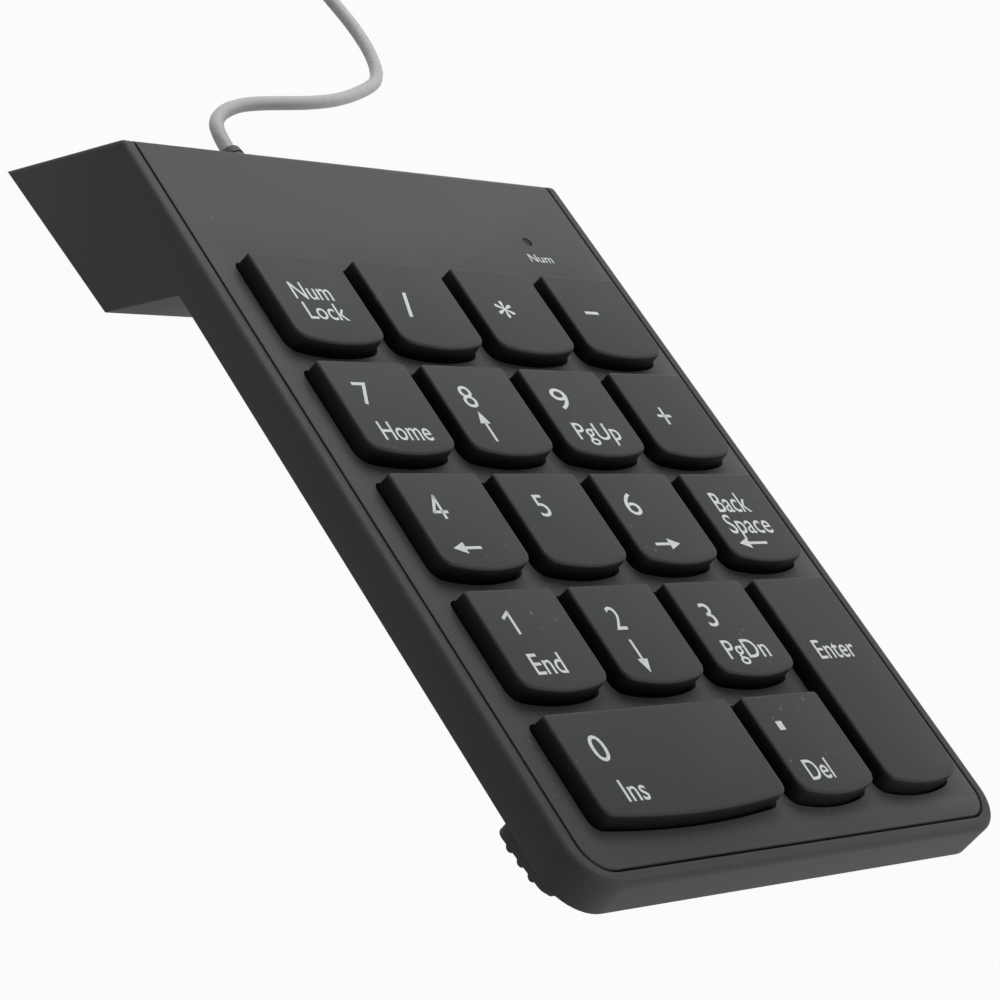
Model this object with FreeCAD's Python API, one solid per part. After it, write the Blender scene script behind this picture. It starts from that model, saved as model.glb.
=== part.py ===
import FreeCAD, Part
import math
import os

from FreeCAD import Rotation, Vector

# All sizes are in millimetres and degrees.
# The keypad is drawn lying flat: X to the right, Y to the rear, Z up from the slab, with the
# origin on the key tops at the middle of the key grid. Each piece is then tilted onto its feet.

# Key grid
key_pitch = 19.0
grid_columns = 4
grid_rows = 5
key_travel = 1.9

# Keycaps
cap_width = 15.9
cap_depth = 15.9
cap_front_bow = 1.35
wide_cap_front_bow = 1.15
cap_rear_corner = 0.6
cap_front_corner = 1.8
cap_roof = 1.0
cap_wall = 1.0
cap_skirt = 3.3
cap_edge_round = 0.35
stem_size = 7.6
stem_wall = 1.0
stem_pad_radius = 1.7
stem_foot = 4.0
tab_reach = 0.8
tab_length = 3.0
tab_inset = 3.4
tab_height = 0.5

# Cover
cover_drop = 2.5
cover_skin = 1.0
cover_skirt = 1.2
cover_skirt_depth = 2.6
key_gap = 0.45
groove = 0.35
cover_corner = 4.0

# Lower case
side_border = 5.1
front_border = 5.4
slab_thickness = 5.6
side_wall = 1.9
floor_skin = 1.0
front_corner = 6.5
rim_round = 0.8
rear_top_round = 2.5
hump_inset = 2.1
hump_drop = 11.9
hump_lean = 35.5
hump_base = 28.4
hump_base_angle = 3.9
rear_lean = 35.3
hump_wall = 1.8
rear_lip_drop = 2.5

# Snap tongues that hold the cover along its front and sides
snap_length = 6.0
snap_reach = 0.9
snap_height = 0.9
snap_play = 0.15
front_snaps = (-26.0, 0.0, 26.0)
side_snaps = (-24.0, 20.0)

# Sheets under the keys
backing_thickness = 0.3
film_thickness = 0.1
dome_sheet_thickness = 0.25
dome_base_radius = 3.3
dome_top_radius = 1.7
dome_wall = 0.35
sheet_rear_gap = 1.25
tail_half_width = 9.0
tail_length = 8.4
contact_radius = 2.5

# Key guide frame
guide_rib = 0.9
guide_margin = 0.9
guide_plate = 0.9
guide_bridge = 3.0
collar_wall = 1.0
stem_play = 0.1
roof_play = 0.2
tab_play = 0.05

# Stabiliser wires of the two long keys
wire_radius = 0.4
wire_play = 0.05
wire_half_span = 13.0
wire_arm = 4.0
wire_offset = 6.0
wire_toe = 2.2
wire_drop = 4.35
hook_start = 0.75
hook_width = 1.2
hook_wall = 0.8
clip_position = 9.0
clip_width = 2.0
clip_half_depth = 0.8
clip_roof = 0.3
clip_slot = 0.6
hook_play = 0.35
hook_floor = 0.35

# Controller board and what is on it
board_left = -26.0
board_right = 29.6
board_gap = 2.0
board_depth = 18.4
board_thickness = 1.0
clamp_half_length = 14.0
clamp_depth = 5.0
clamp_thickness = 1.5
clamp_screw_x = 11.5
clamp_inset = 3.6
board_screw_x = 21.0
board_screw_inset = 3.0
board_screw_radius = 1.0
board_hole_radius = 1.3
board_screw_grip = 4.5
board_screw_head_radius = 2.0
board_screw_head = 1.2
post_radius = 2.2
chip_size = (9.9, 6.0, 1.6)
chip_x = 9.0
chip_inset = 10.9
led_size = (2.0, 1.3, 0.8)
led_x = 27.0
led_inset = 5.9
guide_pin_radius = 0.8
guide_pin_play = 0.05
guide_pin_flange = 1.5
guide_pin_flange_height = 0.8

# Case screws at the rear
case_screw_inset = 8.1
case_screw_setback = 15.1
case_screw_radius = 1.1
case_screw_length = 8.0
case_screw_head_radius = 2.3
case_screw_head = 1.7
screw_hole_play = 0.3
well_radius = 4.0
well_roof = 2.0
boss_radius = 2.5
boss_foot = 11.0

# Rubber feet
tilt = 5.5
front_foot_height = 3.3
front_foot_inset = 1.9
front_foot_width = 9.0
front_foot_front = 48.6
front_foot_rear = 38.0
foot_corner = 2.2
foot_rib_radius = 0.75
foot_rib_count = 4
foot_recess = 0.5
foot_rib_proud = 0.55
rear_foot_inset = 12.1
rear_foot_setback = 10.29
rear_foot_length = 14.0
rear_foot_width = 8.0

# Cable outlet, cable and plug
outlet_x = -5.0
outlet_drop = 16.0
cord_radius = 1.1
relief_neck_radius = 2.2
relief_flange_radius = 3.0
relief_flange = 1.2
relief_nose = 4.8
relief_tip_radius = 1.6
outlet_boss_wall = 1.2
outlet_boss_depth = 4.0
lead_run = 3.0
lead_bend = 3.0

# The cable's loose stretch, from the outlet to its coil, in the frame of the standing keypad
cord_route = [(-5.0, 69.76, 7.16), (-4.8, 73.2, 7.48), (-3.4, 76.6, 7.3), (-0.7, 79.6, 6.7),
              (3.0, 82.2, 6.0), (8.0, 85.3, 5.0), (14.4, 88.9, 3.8), (22.3, 92.8, 2.6),
              (30.7, 96.0, 1.6), (39.5, 98.5, 1.15), (48.5, 101.3, 1.1), (55.8, 106.0, 1.1),
              (60.4, 113.2, 1.1), (62.2, 121.6, 1.1), (62.2, 130.6, 1.1), (61.9, 140.2, 1.5),
              (61.95, 150.0, 1.6)]
tail_route = [(46.0, 165.95, 8.2), (38.0, 166.3, 7.6), (30.6, 166.0, 6.0), (24.0, 165.8, 4.4),
              (19.0, 165.8, 4.0)]

# The cable's coil, its tie and its plug
coil_centre = (46.0, 150.0)
coil_radius = 12.65
coil_rows = 4
coil_lift = 0.5
tie_length = 5.0
tie_thickness = 0.5
tie_angle = 200.0
plug_relief_length = 7.0
plug_relief_radius = 2.6
plug_grip_length = 20.0
plug_grip_width = 15.5
plug_grip_height = 8.0
plug_grip_corner = 1.6
plug_shell_length = 12.0
plug_shell_width = 12.0
plug_shell_height = 4.5
plug_shell_wall = 0.3
plug_tongue_height = 1.9
plug_tongue_inset = 0.4
plug_contact_length = 7.4
plug_contact_width = 1.0
plug_contact_thickness = 0.2
plug_contact_pitch = 2.4
plug_contact_count = 4

# Edges are picked by where they lie, to within these.
touching = 0.01
beside = 0.1
least_round = 0.2
bend_share = 0.45

grid_half_width = grid_columns * key_pitch / 2
grid_half_depth = grid_rows * key_pitch / 2
slab_half_width = grid_half_width + side_border
slab_front = grid_half_depth + front_border
hump_start = grid_half_depth - hump_inset
opening_inset = guide_rib / 2
frame_half_width = grid_half_width + opening_inset + guide_margin
frame_half_depth = grid_half_depth + opening_inset + guide_margin
sheet_half_width = frame_half_width
sheet_front = frame_half_depth
sheet_rear = frame_half_depth - sheet_rear_gap
board_front = sheet_rear + board_gap
board_rear = board_front + board_depth
clamp_y = board_front + clamp_inset
board_screw_y = board_rear - board_screw_inset
chip_y = board_front + chip_inset
led_y = board_front + led_inset
case_screw_x = slab_half_width - case_screw_inset
case_screw_y = hump_start + case_screw_setback
rear_foot_x = slab_half_width - rear_foot_inset
plate_top = -cover_drop
cover_under = plate_top - cover_skin
slab_bottom = plate_top - slab_thickness
floor_top = slab_bottom + floor_skin
backing_top = floor_top + backing_thickness
films_top = backing_top + 3 * film_thickness
domes_base = films_top + dome_sheet_thickness
board_top = backing_top
skirt_bottom = cover_under - cover_skirt_depth
lip_z = plate_top - rear_lip_drop
frame_top = cover_under
hollow_corner = cover_corner - cover_skirt
slab_inner_x = slab_half_width - side_wall
slab_inner_front = slab_front - side_wall
cover_x = slab_inner_x - groove
cover_front = slab_inner_front - groove
collar_top = -cap_roof - key_travel - roof_play
stem_bottom = -stem_foot
dome_top = stem_bottom - tab_play
tab_top = cover_under - tab_play
tab_bottom = tab_top - tab_height
wire_z = -wire_drop
wire_rise = key_travel / 2
well_top = -boss_foot
board_bottom = board_top - board_thickness
clamp_base = board_top + film_thickness

single_keys = {
    "num_lock": (0, 0), "divide": (1, 0), "multiply": (2, 0), "subtract": (3, 0),
    "7": (0, 1), "8": (1, 1), "9": (2, 1), "add": (3, 1),
    "4": (0, 2), "5": (1, 2), "6": (2, 2), "backspace": (3, 2),
    "1": (0, 3), "2": (1, 3), "3": (2, 3), "decimal": (2, 4),
}
zero_place = (0.5, grid_rows - 1)
enter_place = (grid_columns - 1, grid_rows - 1.5)


def key_centre(column, row):
    x = (column - (grid_columns - 1) / 2) * key_pitch
    y = ((grid_rows - 1) / 2 - row) * key_pitch
    return x, y


# Each key is its name, centre, width, depth and front bow.
def key_table():
    keys = []
    for name, (column, row) in single_keys.items():
        x, y = key_centre(column, row)
        keys.append((name, x, y, cap_width, cap_depth, cap_front_bow))
    zero_x, zero_y = key_centre(*zero_place)
    keys.append(("0", zero_x, zero_y, cap_width + key_pitch, cap_depth, wide_cap_front_bow))
    enter_x, enter_y = key_centre(*enter_place)
    keys.append(("enter", enter_x, enter_y, cap_width, cap_depth + key_pitch, cap_front_bow))
    return keys


def box(x0, x1, y0, y1, z0, z1):
    return Part.makeBox(x1 - x0, y1 - y0, z1 - z0, Vector(x0, y0, z0))


def post(x, y, z0, z1, radius):
    return Part.makeCylinder(radius, z1 - z0, Vector(x, y, z0))


def rounded_box(x0, x1, y0, y1, z0, z1, corner):
    block = box(x0, x1, y0, y1, z0, z1)
    return block.makeFillet(corner, [edge for edge in block.Edges if is_upright(edge)])


def profile_prism(points, x0, x1):
    corners = [Vector(x0, y, z) for y, z in points]
    face = Part.Face(Part.makePolygon(corners + corners[:1]))
    return face.extrude(Vector(x1 - x0, 0, 0))


def is_upright(edge):
    return edge.Length > beside and abs(edge.tangentAt(edge.FirstParameter).z) > 0.99


def key_prism(key, z0, z1, grow=0.0):
    name, x, y, width, depth, bow = key
    half, rear, front = width / 2 + grow, depth / 2 + grow, -depth / 2 - grow
    shoulder = front + bow
    a, b = Vector(-half, rear, z0), Vector(half, rear, z0)
    c, d = Vector(half, shoulder, z0), Vector(-half, shoulder, z0)
    outline = [Part.LineSegment(a, b), Part.LineSegment(b, c),
               Part.Arc(c, Vector(0, front, z0), d), Part.LineSegment(d, a)]
    face = Part.Face(Part.Wire([curve.toShape() for curve in outline]))
    block = face.extrude(Vector(0, 0, z1 - z0))
    uprights = [edge for edge in block.Edges if is_upright(edge)]
    rear_edges = [edge for edge in uprights if edge.CenterOfMass.y > rear - beside]
    block = block.makeFillet(max(cap_rear_corner + grow, least_round), rear_edges)
    uprights = [edge for edge in block.Edges if is_upright(edge)]
    front_edges = [edge for edge in uprights if abs(edge.CenterOfMass.y - shoulder) < touching]
    block = block.makeFillet(max(cap_front_corner + grow, least_round), front_edges)
    block.translate(Vector(x, y, 0))
    return block


def is_long(key):
    return max(key[3], key[4]) > key_pitch


# A long key's stabiliser parts are drawn along X and turned for the tall key.
def turn_to_key(shape, key):
    name, x, y, width, depth, bow = key
    if depth > width:
        shape.rotate(Vector(0, 0, 0), Vector(0, 0, 1), 90)
    shape.translate(Vector(x, y, 0))
    return shape


def line_through(point, lean):
    slope = math.tan(math.radians(lean))
    return lambda z: point[0] - (z - point[1]) * slope


# Side outline of the whole shell as (y, z), and the same shell's inner walls.
hump_foot = (hump_start + hump_drop * math.tan(math.radians(hump_lean)), slab_bottom - hump_drop)
hump_heel = (hump_foot[0] + hump_base, hump_foot[1] - hump_base * math.tan(math.radians(hump_base_angle)))
rear_wall_at = line_through(hump_heel, rear_lean)
rear_wall_depth = hump_wall / math.cos(math.radians(rear_lean))
front_wall_at = line_through((hump_start, slab_bottom), hump_lean)
front_wall_depth = hump_wall / math.cos(math.radians(hump_lean))
base_slope = math.tan(math.radians(hump_base_angle))
base_depth = hump_wall / math.cos(math.radians(hump_base_angle))
outlet_z = -outlet_drop
outlet_y = rear_wall_at(outlet_z)


def hump_floor_at(y):
    return hump_foot[1] - (y - hump_foot[0]) * base_slope + base_depth


# Where an inner wall, a straight line in z, comes down on the hump's floor, a straight line in y.
def inner_hump_corner(wall_at, depth):
    level = wall_at(0) + depth
    wall_slope = wall_at(1) - wall_at(0)
    z = hump_floor_at(level) / (1 + base_slope * wall_slope)
    return level + z * wall_slope, z


def envelope():
    outline = [(-slab_front, plate_top), (-slab_front, slab_bottom), (hump_start, slab_bottom),
               hump_foot, hump_heel, (rear_wall_at(plate_top), plate_top)]
    block = profile_prism(outline, -slab_half_width, slab_half_width)
    fronts = [edge for edge in block.Edges
              if is_upright(edge) and edge.CenterOfMass.y < -slab_front + beside]
    block = block.makeFillet(front_corner, fronts)
    rear_top = [edge for edge in block.Edges if edge.BoundBox.XLength > slab_half_width
                and abs(edge.CenterOfMass.z - plate_top) < touching and edge.CenterOfMass.y > 0]
    block = block.makeFillet(rear_top_round, rear_top)
    rim = [edge for edge in block.Edges if is_rim(edge)]
    return block.makeFillet(rim_round, rim)


def is_rim(edge):
    middle = edge.CenterOfMass
    on_top = abs(middle.z - plate_top) < touching and edge.BoundBox.ZLength < touching
    on_side = abs(abs(middle.x) - slab_half_width) < touching and edge.BoundBox.XLength < touching
    behind = middle.y > hump_start and middle.z > slab_bottom - hump_drop
    rear_edge = on_side and behind and edge.BoundBox.ZLength > beside and not is_hump_front(edge)
    across = edge.BoundBox.XLength > slab_half_width
    return (on_top and not (across and middle.y > 0)) or rear_edge


def is_hump_front(edge):
    return abs(edge.CenterOfMass.y - front_wall_at(edge.CenterOfMass.z)) < beside


def inner_rear_wall_at(z):
    return rear_wall_at(z) - rear_wall_depth


def case_cavity():
    top = plate_top + side_wall
    foot = inner_hump_corner(front_wall_at, front_wall_depth)
    heel = inner_hump_corner(rear_wall_at, -rear_wall_depth)
    wall_top = lip_z - groove
    beyond = hump_heel[0]
    outline = [(-slab_inner_front, top), (-slab_inner_front, floor_top),
               (front_wall_at(floor_top) + front_wall_depth, floor_top), foot, heel,
               (inner_rear_wall_at(wall_top), wall_top), (beyond, wall_top), (beyond, top)]
    block = profile_prism(outline, -slab_inner_x, slab_inner_x)
    fronts = [edge for edge in block.Edges
              if is_upright(edge) and edge.CenterOfMass.y < -slab_inner_front + beside]
    return block.makeFillet(cover_corner + groove, fronts)


def screw_places():
    return [(side * case_screw_x, case_screw_y) for side in (-1, 1)]


def board_posts():
    near = [(side * clamp_screw_x, clamp_y) for side in (-1, 1)]
    far = [(side * board_screw_x, board_screw_y) for side in (-1, 1)]
    return near, far


def snap_boxes(reach, play):
    boxes = []
    z0, z1 = skirt_bottom - play, skirt_bottom + snap_height + play
    half = snap_length / 2 + play
    for x in front_snaps:
        boxes.append(box(x - half, x + half, -cover_front - reach, -cover_front + play, z0, z1))
    for y in side_snaps:
        boxes.append(box(-cover_x - reach, -cover_x + play, y - half, y + half, z0, z1))
        boxes.append(box(cover_x - play, cover_x + reach, y - half, y + half, z0, z1))
    return boxes


def bottom_case(shell):
    case = shell.cut(case_cavity())
    low = hump_heel[1]
    near, far = board_posts()
    stands = [post(x, y, low, board_bottom, post_radius) for x, y in near + far]
    stands += [post(x, y, low, well_top, well_radius) for x, y in screw_places()]
    boss_face = outlet_y - rear_wall_depth - outlet_boss_depth
    boss = Part.makeCylinder(relief_flange_radius + outlet_boss_wall, hump_heel[0] - boss_face,
                             Vector(outlet_x, boss_face, outlet_z), Vector(0, 1, 0))
    case = case.fuse([stand.common(shell) for stand in stands + [boss]])
    holes = [Part.makeCylinder(relief_neck_radius, hump_heel[0] - boss_face,
                               Vector(outlet_x, boss_face, outlet_z), Vector(0, 1, 0))]
    pilot_foot = board_bottom - board_screw_grip
    holes += [post(x, y, pilot_foot, board_bottom, board_screw_radius) for x, y in near + far]
    for x, y in screw_places():
        holes.append(post(x, y, low, well_top - well_roof, case_screw_head_radius + screw_hole_play))
        holes.append(post(x, y, low, well_top, case_screw_radius + screw_hole_play))
    holes += snap_boxes(snap_reach + snap_play, snap_play)
    holes += [foot_seat(x0, x1, y0, y1) for x0, x1, y0, y1 in foot_places()]
    return case.cut(holes)


def cover_blank(shell):
    stop = inner_rear_wall_at(lip_z) - groove
    beyond = hump_heel[0]
    outline = [(-cover_front, 0), (-cover_front, skirt_bottom), (stop, skirt_bottom),
               (stop, lip_z), (beyond, lip_z), (beyond, 0)]
    block = profile_prism(outline, -cover_x, cover_x)
    fronts = [edge for edge in block.Edges
              if is_upright(edge) and edge.CenterOfMass.y < -cover_front + beside]
    return shell.common(block.makeFillet(cover_corner, fronts))


def cover_hollow():
    low = skirt_bottom - cover_skirt
    front = cover_front - cover_skirt
    half = cover_x - cover_skirt
    outline = [(-front, low), (-front, cover_under),
               (inner_rear_wall_at(cover_under), cover_under), (inner_rear_wall_at(low), low)]
    block = profile_prism(outline, -half, half)
    fronts = [edge for edge in block.Edges if is_upright(edge) and edge.CenterOfMass.y < 0]
    return block.makeFillet(hollow_corner, fronts)


def top_cover(shell, keys):
    cover = cover_blank(shell).cut(cover_hollow())
    bosses = [post(x, y, -boss_foot, cover_under, boss_radius) for x, y in screw_places()]
    cover = cover.fuse(bosses + snap_boxes(snap_reach, 0))
    holes = [key_prism(key, skirt_bottom, 0, key_gap) for key in keys]
    pilot_top = well_top - well_roof + case_screw_length + screw_hole_play
    holes += [post(x, y, -boss_foot, pilot_top, case_screw_radius) for x, y in screw_places()]
    holes.append(post(led_x, led_y, cover_under, 0, guide_pin_radius + guide_pin_play))
    return cover.cut(holes)


def key_cap(key):
    name, x, y, width, depth, bow = key
    body = key_prism(key, -cap_skirt, 0)
    top_edges = [edge for edge in body.Edges if edge.BoundBox.ZMin > -0.01]
    body = body.makeFillet(cap_edge_round, top_edges)
    body = body.cut(key_prism(key, -cap_skirt, -cap_roof, -cap_wall))
    half_stem = stem_size / 2
    inner = half_stem - stem_wall
    stem = box(x - half_stem, x + half_stem, y - half_stem, y + half_stem, stem_bottom, -cap_roof)
    stem = stem.cut(box(x - inner, x + inner, y - inner, y + inner, stem_bottom, -cap_roof))
    parts = [stem, post(x, y, stem_bottom, -cap_roof, stem_pad_radius)]
    rear_tab = y + depth / 2 - tab_inset
    front_tab = y - depth / 2 + bow + tab_inset
    for tab_y in (rear_tab, front_tab):
        y0, y1 = tab_y - tab_length / 2, tab_y + tab_length / 2
        for side in (-1, 1):
            wall_in = x + side * (width / 2 - cap_wall)
            wall_out = x + side * width / 2
            lug_out = x + side * (width / 2 + tab_reach)
            parts.append(box(*sorted((wall_in, wall_out)), y0, y1, tab_bottom, -cap_skirt))
            parts.append(box(*sorted((wall_in, lug_out)), y0, y1, tab_bottom, tab_top))
    if is_long(key):
        parts += [turn_to_key(hook, key) for hook in stabilizer_hooks()]
    return body.fuse(parts).removeSplitter()


def stabilizer_hooks():
    toe_y = wire_offset - wire_arm
    toe_z = wire_z + wire_rise
    reach = wire_radius + hook_play
    low = toe_z - wire_radius - wire_play
    hooks = []
    for side in (-1, 1):
        x0, x1 = sorted((side * (wire_half_span + hook_start),
                         side * (wire_half_span + hook_start + hook_width)))
        y0, y1 = toe_y - reach - hook_wall, toe_y + reach + hook_wall
        hook = box(x0, x1, y0, y1, low - hook_floor, -cap_roof)
        slot = box(x0, x1, y0, toe_y + reach, low, toe_z + wire_radius + wire_play)
        hooks.append(hook.cut(slot))
    return hooks


def stabilizer_wire(key):
    toe_y = wire_offset - wire_arm
    toe_z = wire_z + wire_rise
    points = []
    for side in (-1, 1):
        x = side * wire_half_span
        half = [Vector(side * (wire_half_span + wire_toe), toe_y, toe_z), Vector(x, toe_y, toe_z),
                Vector(x, wire_offset, wire_z)]
        points += half if side < 0 else half[::-1]
    solids = []
    for start, end in zip(points, points[1:]):
        run = end - start
        solids.append(Part.makeCylinder(wire_radius, run.Length, start, run))
    solids += [Part.makeSphere(wire_radius, point) for point in points[1:-1]]
    return turn_to_key(solids[0].fuse(solids[1:]), key)


# A long key has no bridge along it, because its stabiliser hooks come down there.
def guide_frame(keys):
    frame = rounded_box(-frame_half_width, frame_half_width, -frame_half_depth, frame_half_depth,
                        domes_base, frame_top, hollow_corner)
    plate_z = domes_base + guide_plate
    openings, fittings, bores = [], [], []
    collar = stem_size / 2 + stem_play + collar_wall
    bore = stem_size / 2 + stem_play
    for key in keys:
        name, x, y, width, depth, bow = key
        half_w = (width - cap_width + key_pitch) / 2 - opening_inset
        half_d = (depth - cap_depth + key_pitch) / 2 - opening_inset
        bridge = guide_bridge / 2
        openings.append(box(x - half_w, x + half_w, y - half_d, y + half_d, domes_base, frame_top))
        if width < key_pitch:
            fittings.append(box(x - half_w, x + half_w, y - bridge, y + bridge, domes_base, plate_z))
        if depth < key_pitch:
            fittings.append(box(x - bridge, x + bridge, y - half_d, y + half_d, domes_base, plate_z))
        fittings.append(box(x - collar, x + collar, y - collar, y + collar, domes_base, collar_top))
        bores.append(box(x - bore, x + bore, y - bore, y + bore, domes_base, collar_top))
        if is_long(key):
            fittings += [turn_to_key(clip, key) for clip in stabilizer_clips()]
    return frame.cut(openings).fuse(fittings).cut(bores)


def stabilizer_clips():
    hole = wire_radius + wire_play
    edge = (key_pitch - guide_rib) / 2
    clips = []
    for side in (-1, 1):
        x0 = side * clip_position - clip_width / 2
        x1 = x0 + clip_width
        y0, y1 = wire_offset - clip_half_depth, wire_offset + clip_half_depth
        arm = box(x0, x1, y0, edge, domes_base, domes_base + guide_plate)
        block = box(x0, x1, y0, y1, domes_base, wire_z + hole + clip_roof)
        seat = Part.makeCylinder(hole, clip_width, Vector(x0, wire_offset, wire_z), Vector(1, 0, 0))
        slot = box(x0, x1, wire_offset - clip_slot / 2, wire_offset + clip_slot / 2, wire_z, 0)
        clips.append(arm.fuse(block).cut([seat, slot]))
    return clips


def sheet(z0, thickness):
    return box(-sheet_half_width, sheet_half_width, -sheet_front, sheet_rear, z0, z0 + thickness)


def dome_sheet(keys):
    base = sheet(films_top, dome_sheet_thickness)
    height = dome_top - films_top
    shells, hollows = [], []
    for name, x, y, width, depth, bow in keys:
        foot = Vector(x, y, films_top)
        shells.append(Part.makeCone(dome_base_radius, dome_top_radius, height, foot))
        hollows.append(Part.makeCone(dome_base_radius - dome_wall, dome_top_radius - dome_wall,
                                     height - dome_wall, foot))
    return base.fuse(shells).cut(hollows)


def films(keys):
    spacer_z = backing_top + film_thickness
    top_z = spacer_z + film_thickness
    tail = box(-tail_half_width, tail_half_width, sheet_rear, sheet_rear + tail_length,
               backing_top, backing_top + film_thickness)
    contacts = [post(x, y, spacer_z, top_z, contact_radius) for name, x, y, *size in keys]
    return {
        "membrane_bottom_film": sheet(backing_top, film_thickness).fuse(tail),
        "membrane_spacer": sheet(spacer_z, film_thickness).cut(contacts),
        "membrane_top_film": sheet(top_z, film_thickness),
    }


def board_parts():
    near, far = board_posts()
    board = box(board_left, board_right, board_front, board_rear, board_bottom, board_top)
    board = board.cut([post(x, y, board_bottom, board_top, board_hole_radius) for x, y in near + far])
    clamp = box(-clamp_half_length, clamp_half_length, clamp_y - clamp_depth / 2,
                clamp_y + clamp_depth / 2, clamp_base, clamp_base + clamp_thickness)
    clamp = clamp.cut([post(x, y, clamp_base, clamp_base + clamp_thickness, board_hole_radius)
                       for x, y in near])
    tip = board_bottom - board_screw_grip
    screws = [screw(x, y, tip, clamp_base + clamp_thickness) for x, y in near]
    screws += [screw(x, y, tip, board_top) for x, y in far]
    width, depth, height = chip_size
    chip = box(chip_x - width / 2, chip_x + width / 2, chip_y - depth / 2, chip_y + depth / 2,
               board_bottom - height, board_bottom)
    width, depth, height = led_size
    led = box(led_x - width / 2, led_x + width / 2, led_y - depth / 2, led_y + depth / 2,
              board_top, board_top + height)
    guide = post(led_x, led_y, board_top + height, plate_top, guide_pin_radius)
    guide = guide.fuse(post(led_x, led_y, cover_under - guide_pin_flange_height, cover_under,
                            guide_pin_flange))
    return {"controller_board": board, "membrane_clamp_bar": clamp, "controller_chip": chip,
            "board_screws": Part.Compound(screws), "status_led": led, "light_guide": guide}


def screw(x, y, tip, seat):
    shank = post(x, y, tip, seat, board_screw_radius)
    return shank.fuse(post(x, y, seat, seat + board_screw_head, board_screw_head_radius))


def case_screws():
    seat = well_top - well_roof
    screws = []
    for x, y in screw_places():
        shank = post(x, y, seat, seat + case_screw_length, case_screw_radius)
        head = post(x, y, seat - case_screw_head, seat, case_screw_head_radius)
        screws.append(shank.fuse(head))
    return Part.Compound(screws)


# The table as the slab sees it: it falls away to the rear under the tilted keypad.
def table_z(y):
    contact = slab_bottom - front_foot_height
    return contact - (y + front_foot_rear) * math.tan(math.radians(tilt))


def foot_places():
    outer = slab_half_width - front_foot_inset
    inner = outer - front_foot_width
    y0, y1 = -front_foot_front, -front_foot_rear
    places = [(-outer, -inner, y0, y1), (inner, outer, y0, y1)]
    for side in (-1, 1):
        x, y = side * rear_foot_x, hump_heel[0] - rear_foot_setback
        places.append((x - rear_foot_length / 2, x + rear_foot_length / 2,
                       y - rear_foot_width / 2, y + rear_foot_width / 2))
    return places


def underside_at(y):
    return slab_bottom if y < hump_start else hump_floor_at(y) - base_depth


def foot_seat(x0, x1, y0, y1):
    outline = [(y, underside_at(y) + foot_recess) for y in (y0, y1)]
    outline += [(y, table_z(y)) for y in (y1, y0)]
    return profile_prism(outline, x0, x1).common(foot_column(x0, x1, y0, y1))


def foot_column(x0, x1, y0, y1):
    low, high = table_z(y1) - foot_recess, underside_at(y0) + 2 * foot_recess
    return rounded_box(x0, x1, y0, y1, low, high, foot_corner)


def rubber_foot(place, ribbed):
    x0, x1, y0, y1 = place
    foot = foot_seat(x0, x1, y0, y1)
    if not ribbed:
        return foot
    band = [(y0, table_z(y0) + foot_rib_proud), (y1, table_z(y1) + foot_rib_proud),
            (y1, table_z(y1) - foot_rib_proud), (y0, table_z(y0) - foot_rib_proud)]
    pad = foot.cut(profile_prism(band, x0, x1))
    pitch = (y1 - y0 - 2 * foot_rib_radius) / (foot_rib_count - 1)
    ribs = []
    for number in range(foot_rib_count):
        y = y0 + foot_rib_radius + number * pitch
        z = table_z(y) + foot_rib_radius / math.cos(math.radians(tilt))
        ribs.append(Part.makeCylinder(foot_rib_radius, x1 - x0, Vector(x0, y, z), Vector(1, 0, 0)))
    column = foot_column(x0, x1, y0, y1)
    return pad.fuse([rib.common(column) for rib in ribs])


def strain_relief():
    inner_face = outlet_y - rear_wall_depth - outlet_boss_depth
    back = inner_face - relief_flange
    nose_start = outlet_y + relief_neck_radius * math.tan(math.radians(rear_lean))
    tip = nose_start + relief_nose
    radii = [(back, 0), (back, relief_flange_radius), (inner_face, relief_flange_radius),
             (inner_face, relief_neck_radius), (nose_start, relief_neck_radius),
             (tip, relief_tip_radius), (tip, 0)]
    corners = [Vector(radius, y, 0) for y, radius in radii]
    face = Part.Face(Part.makePolygon(corners + corners[:1]))
    body = face.revolve(Vector(0, 0, 0), Vector(0, 1, 0), 360)
    body.translate(Vector(outlet_x, 0, outlet_z))
    return body, back, tip


def internal_lead(back):
    run_end = back - lead_run
    start = Vector(outlet_x, back, outlet_z)
    turn = Vector(outlet_x, run_end, outlet_z)
    bend = lead_bend
    middle = Vector(outlet_x, run_end - bend * math.sin(math.pi / 4),
                    outlet_z + bend * (1 - math.cos(math.pi / 4)))
    rise = Vector(outlet_x, run_end - bend, outlet_z + bend)
    end = Vector(outlet_x, run_end - bend, board_bottom)
    path = Part.Wire([Part.LineSegment(start, turn).toShape(), Part.Arc(turn, middle, rise).toShape(),
                      Part.LineSegment(rise, end).toShape()])
    return tube(path, start, Vector(0, -1, 0), cord_radius)


def tube(path, start, direction, radius):
    ring = Part.Wire(Part.makeCircle(radius, start, direction))
    return path.makePipeShell([ring], True, True)


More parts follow.
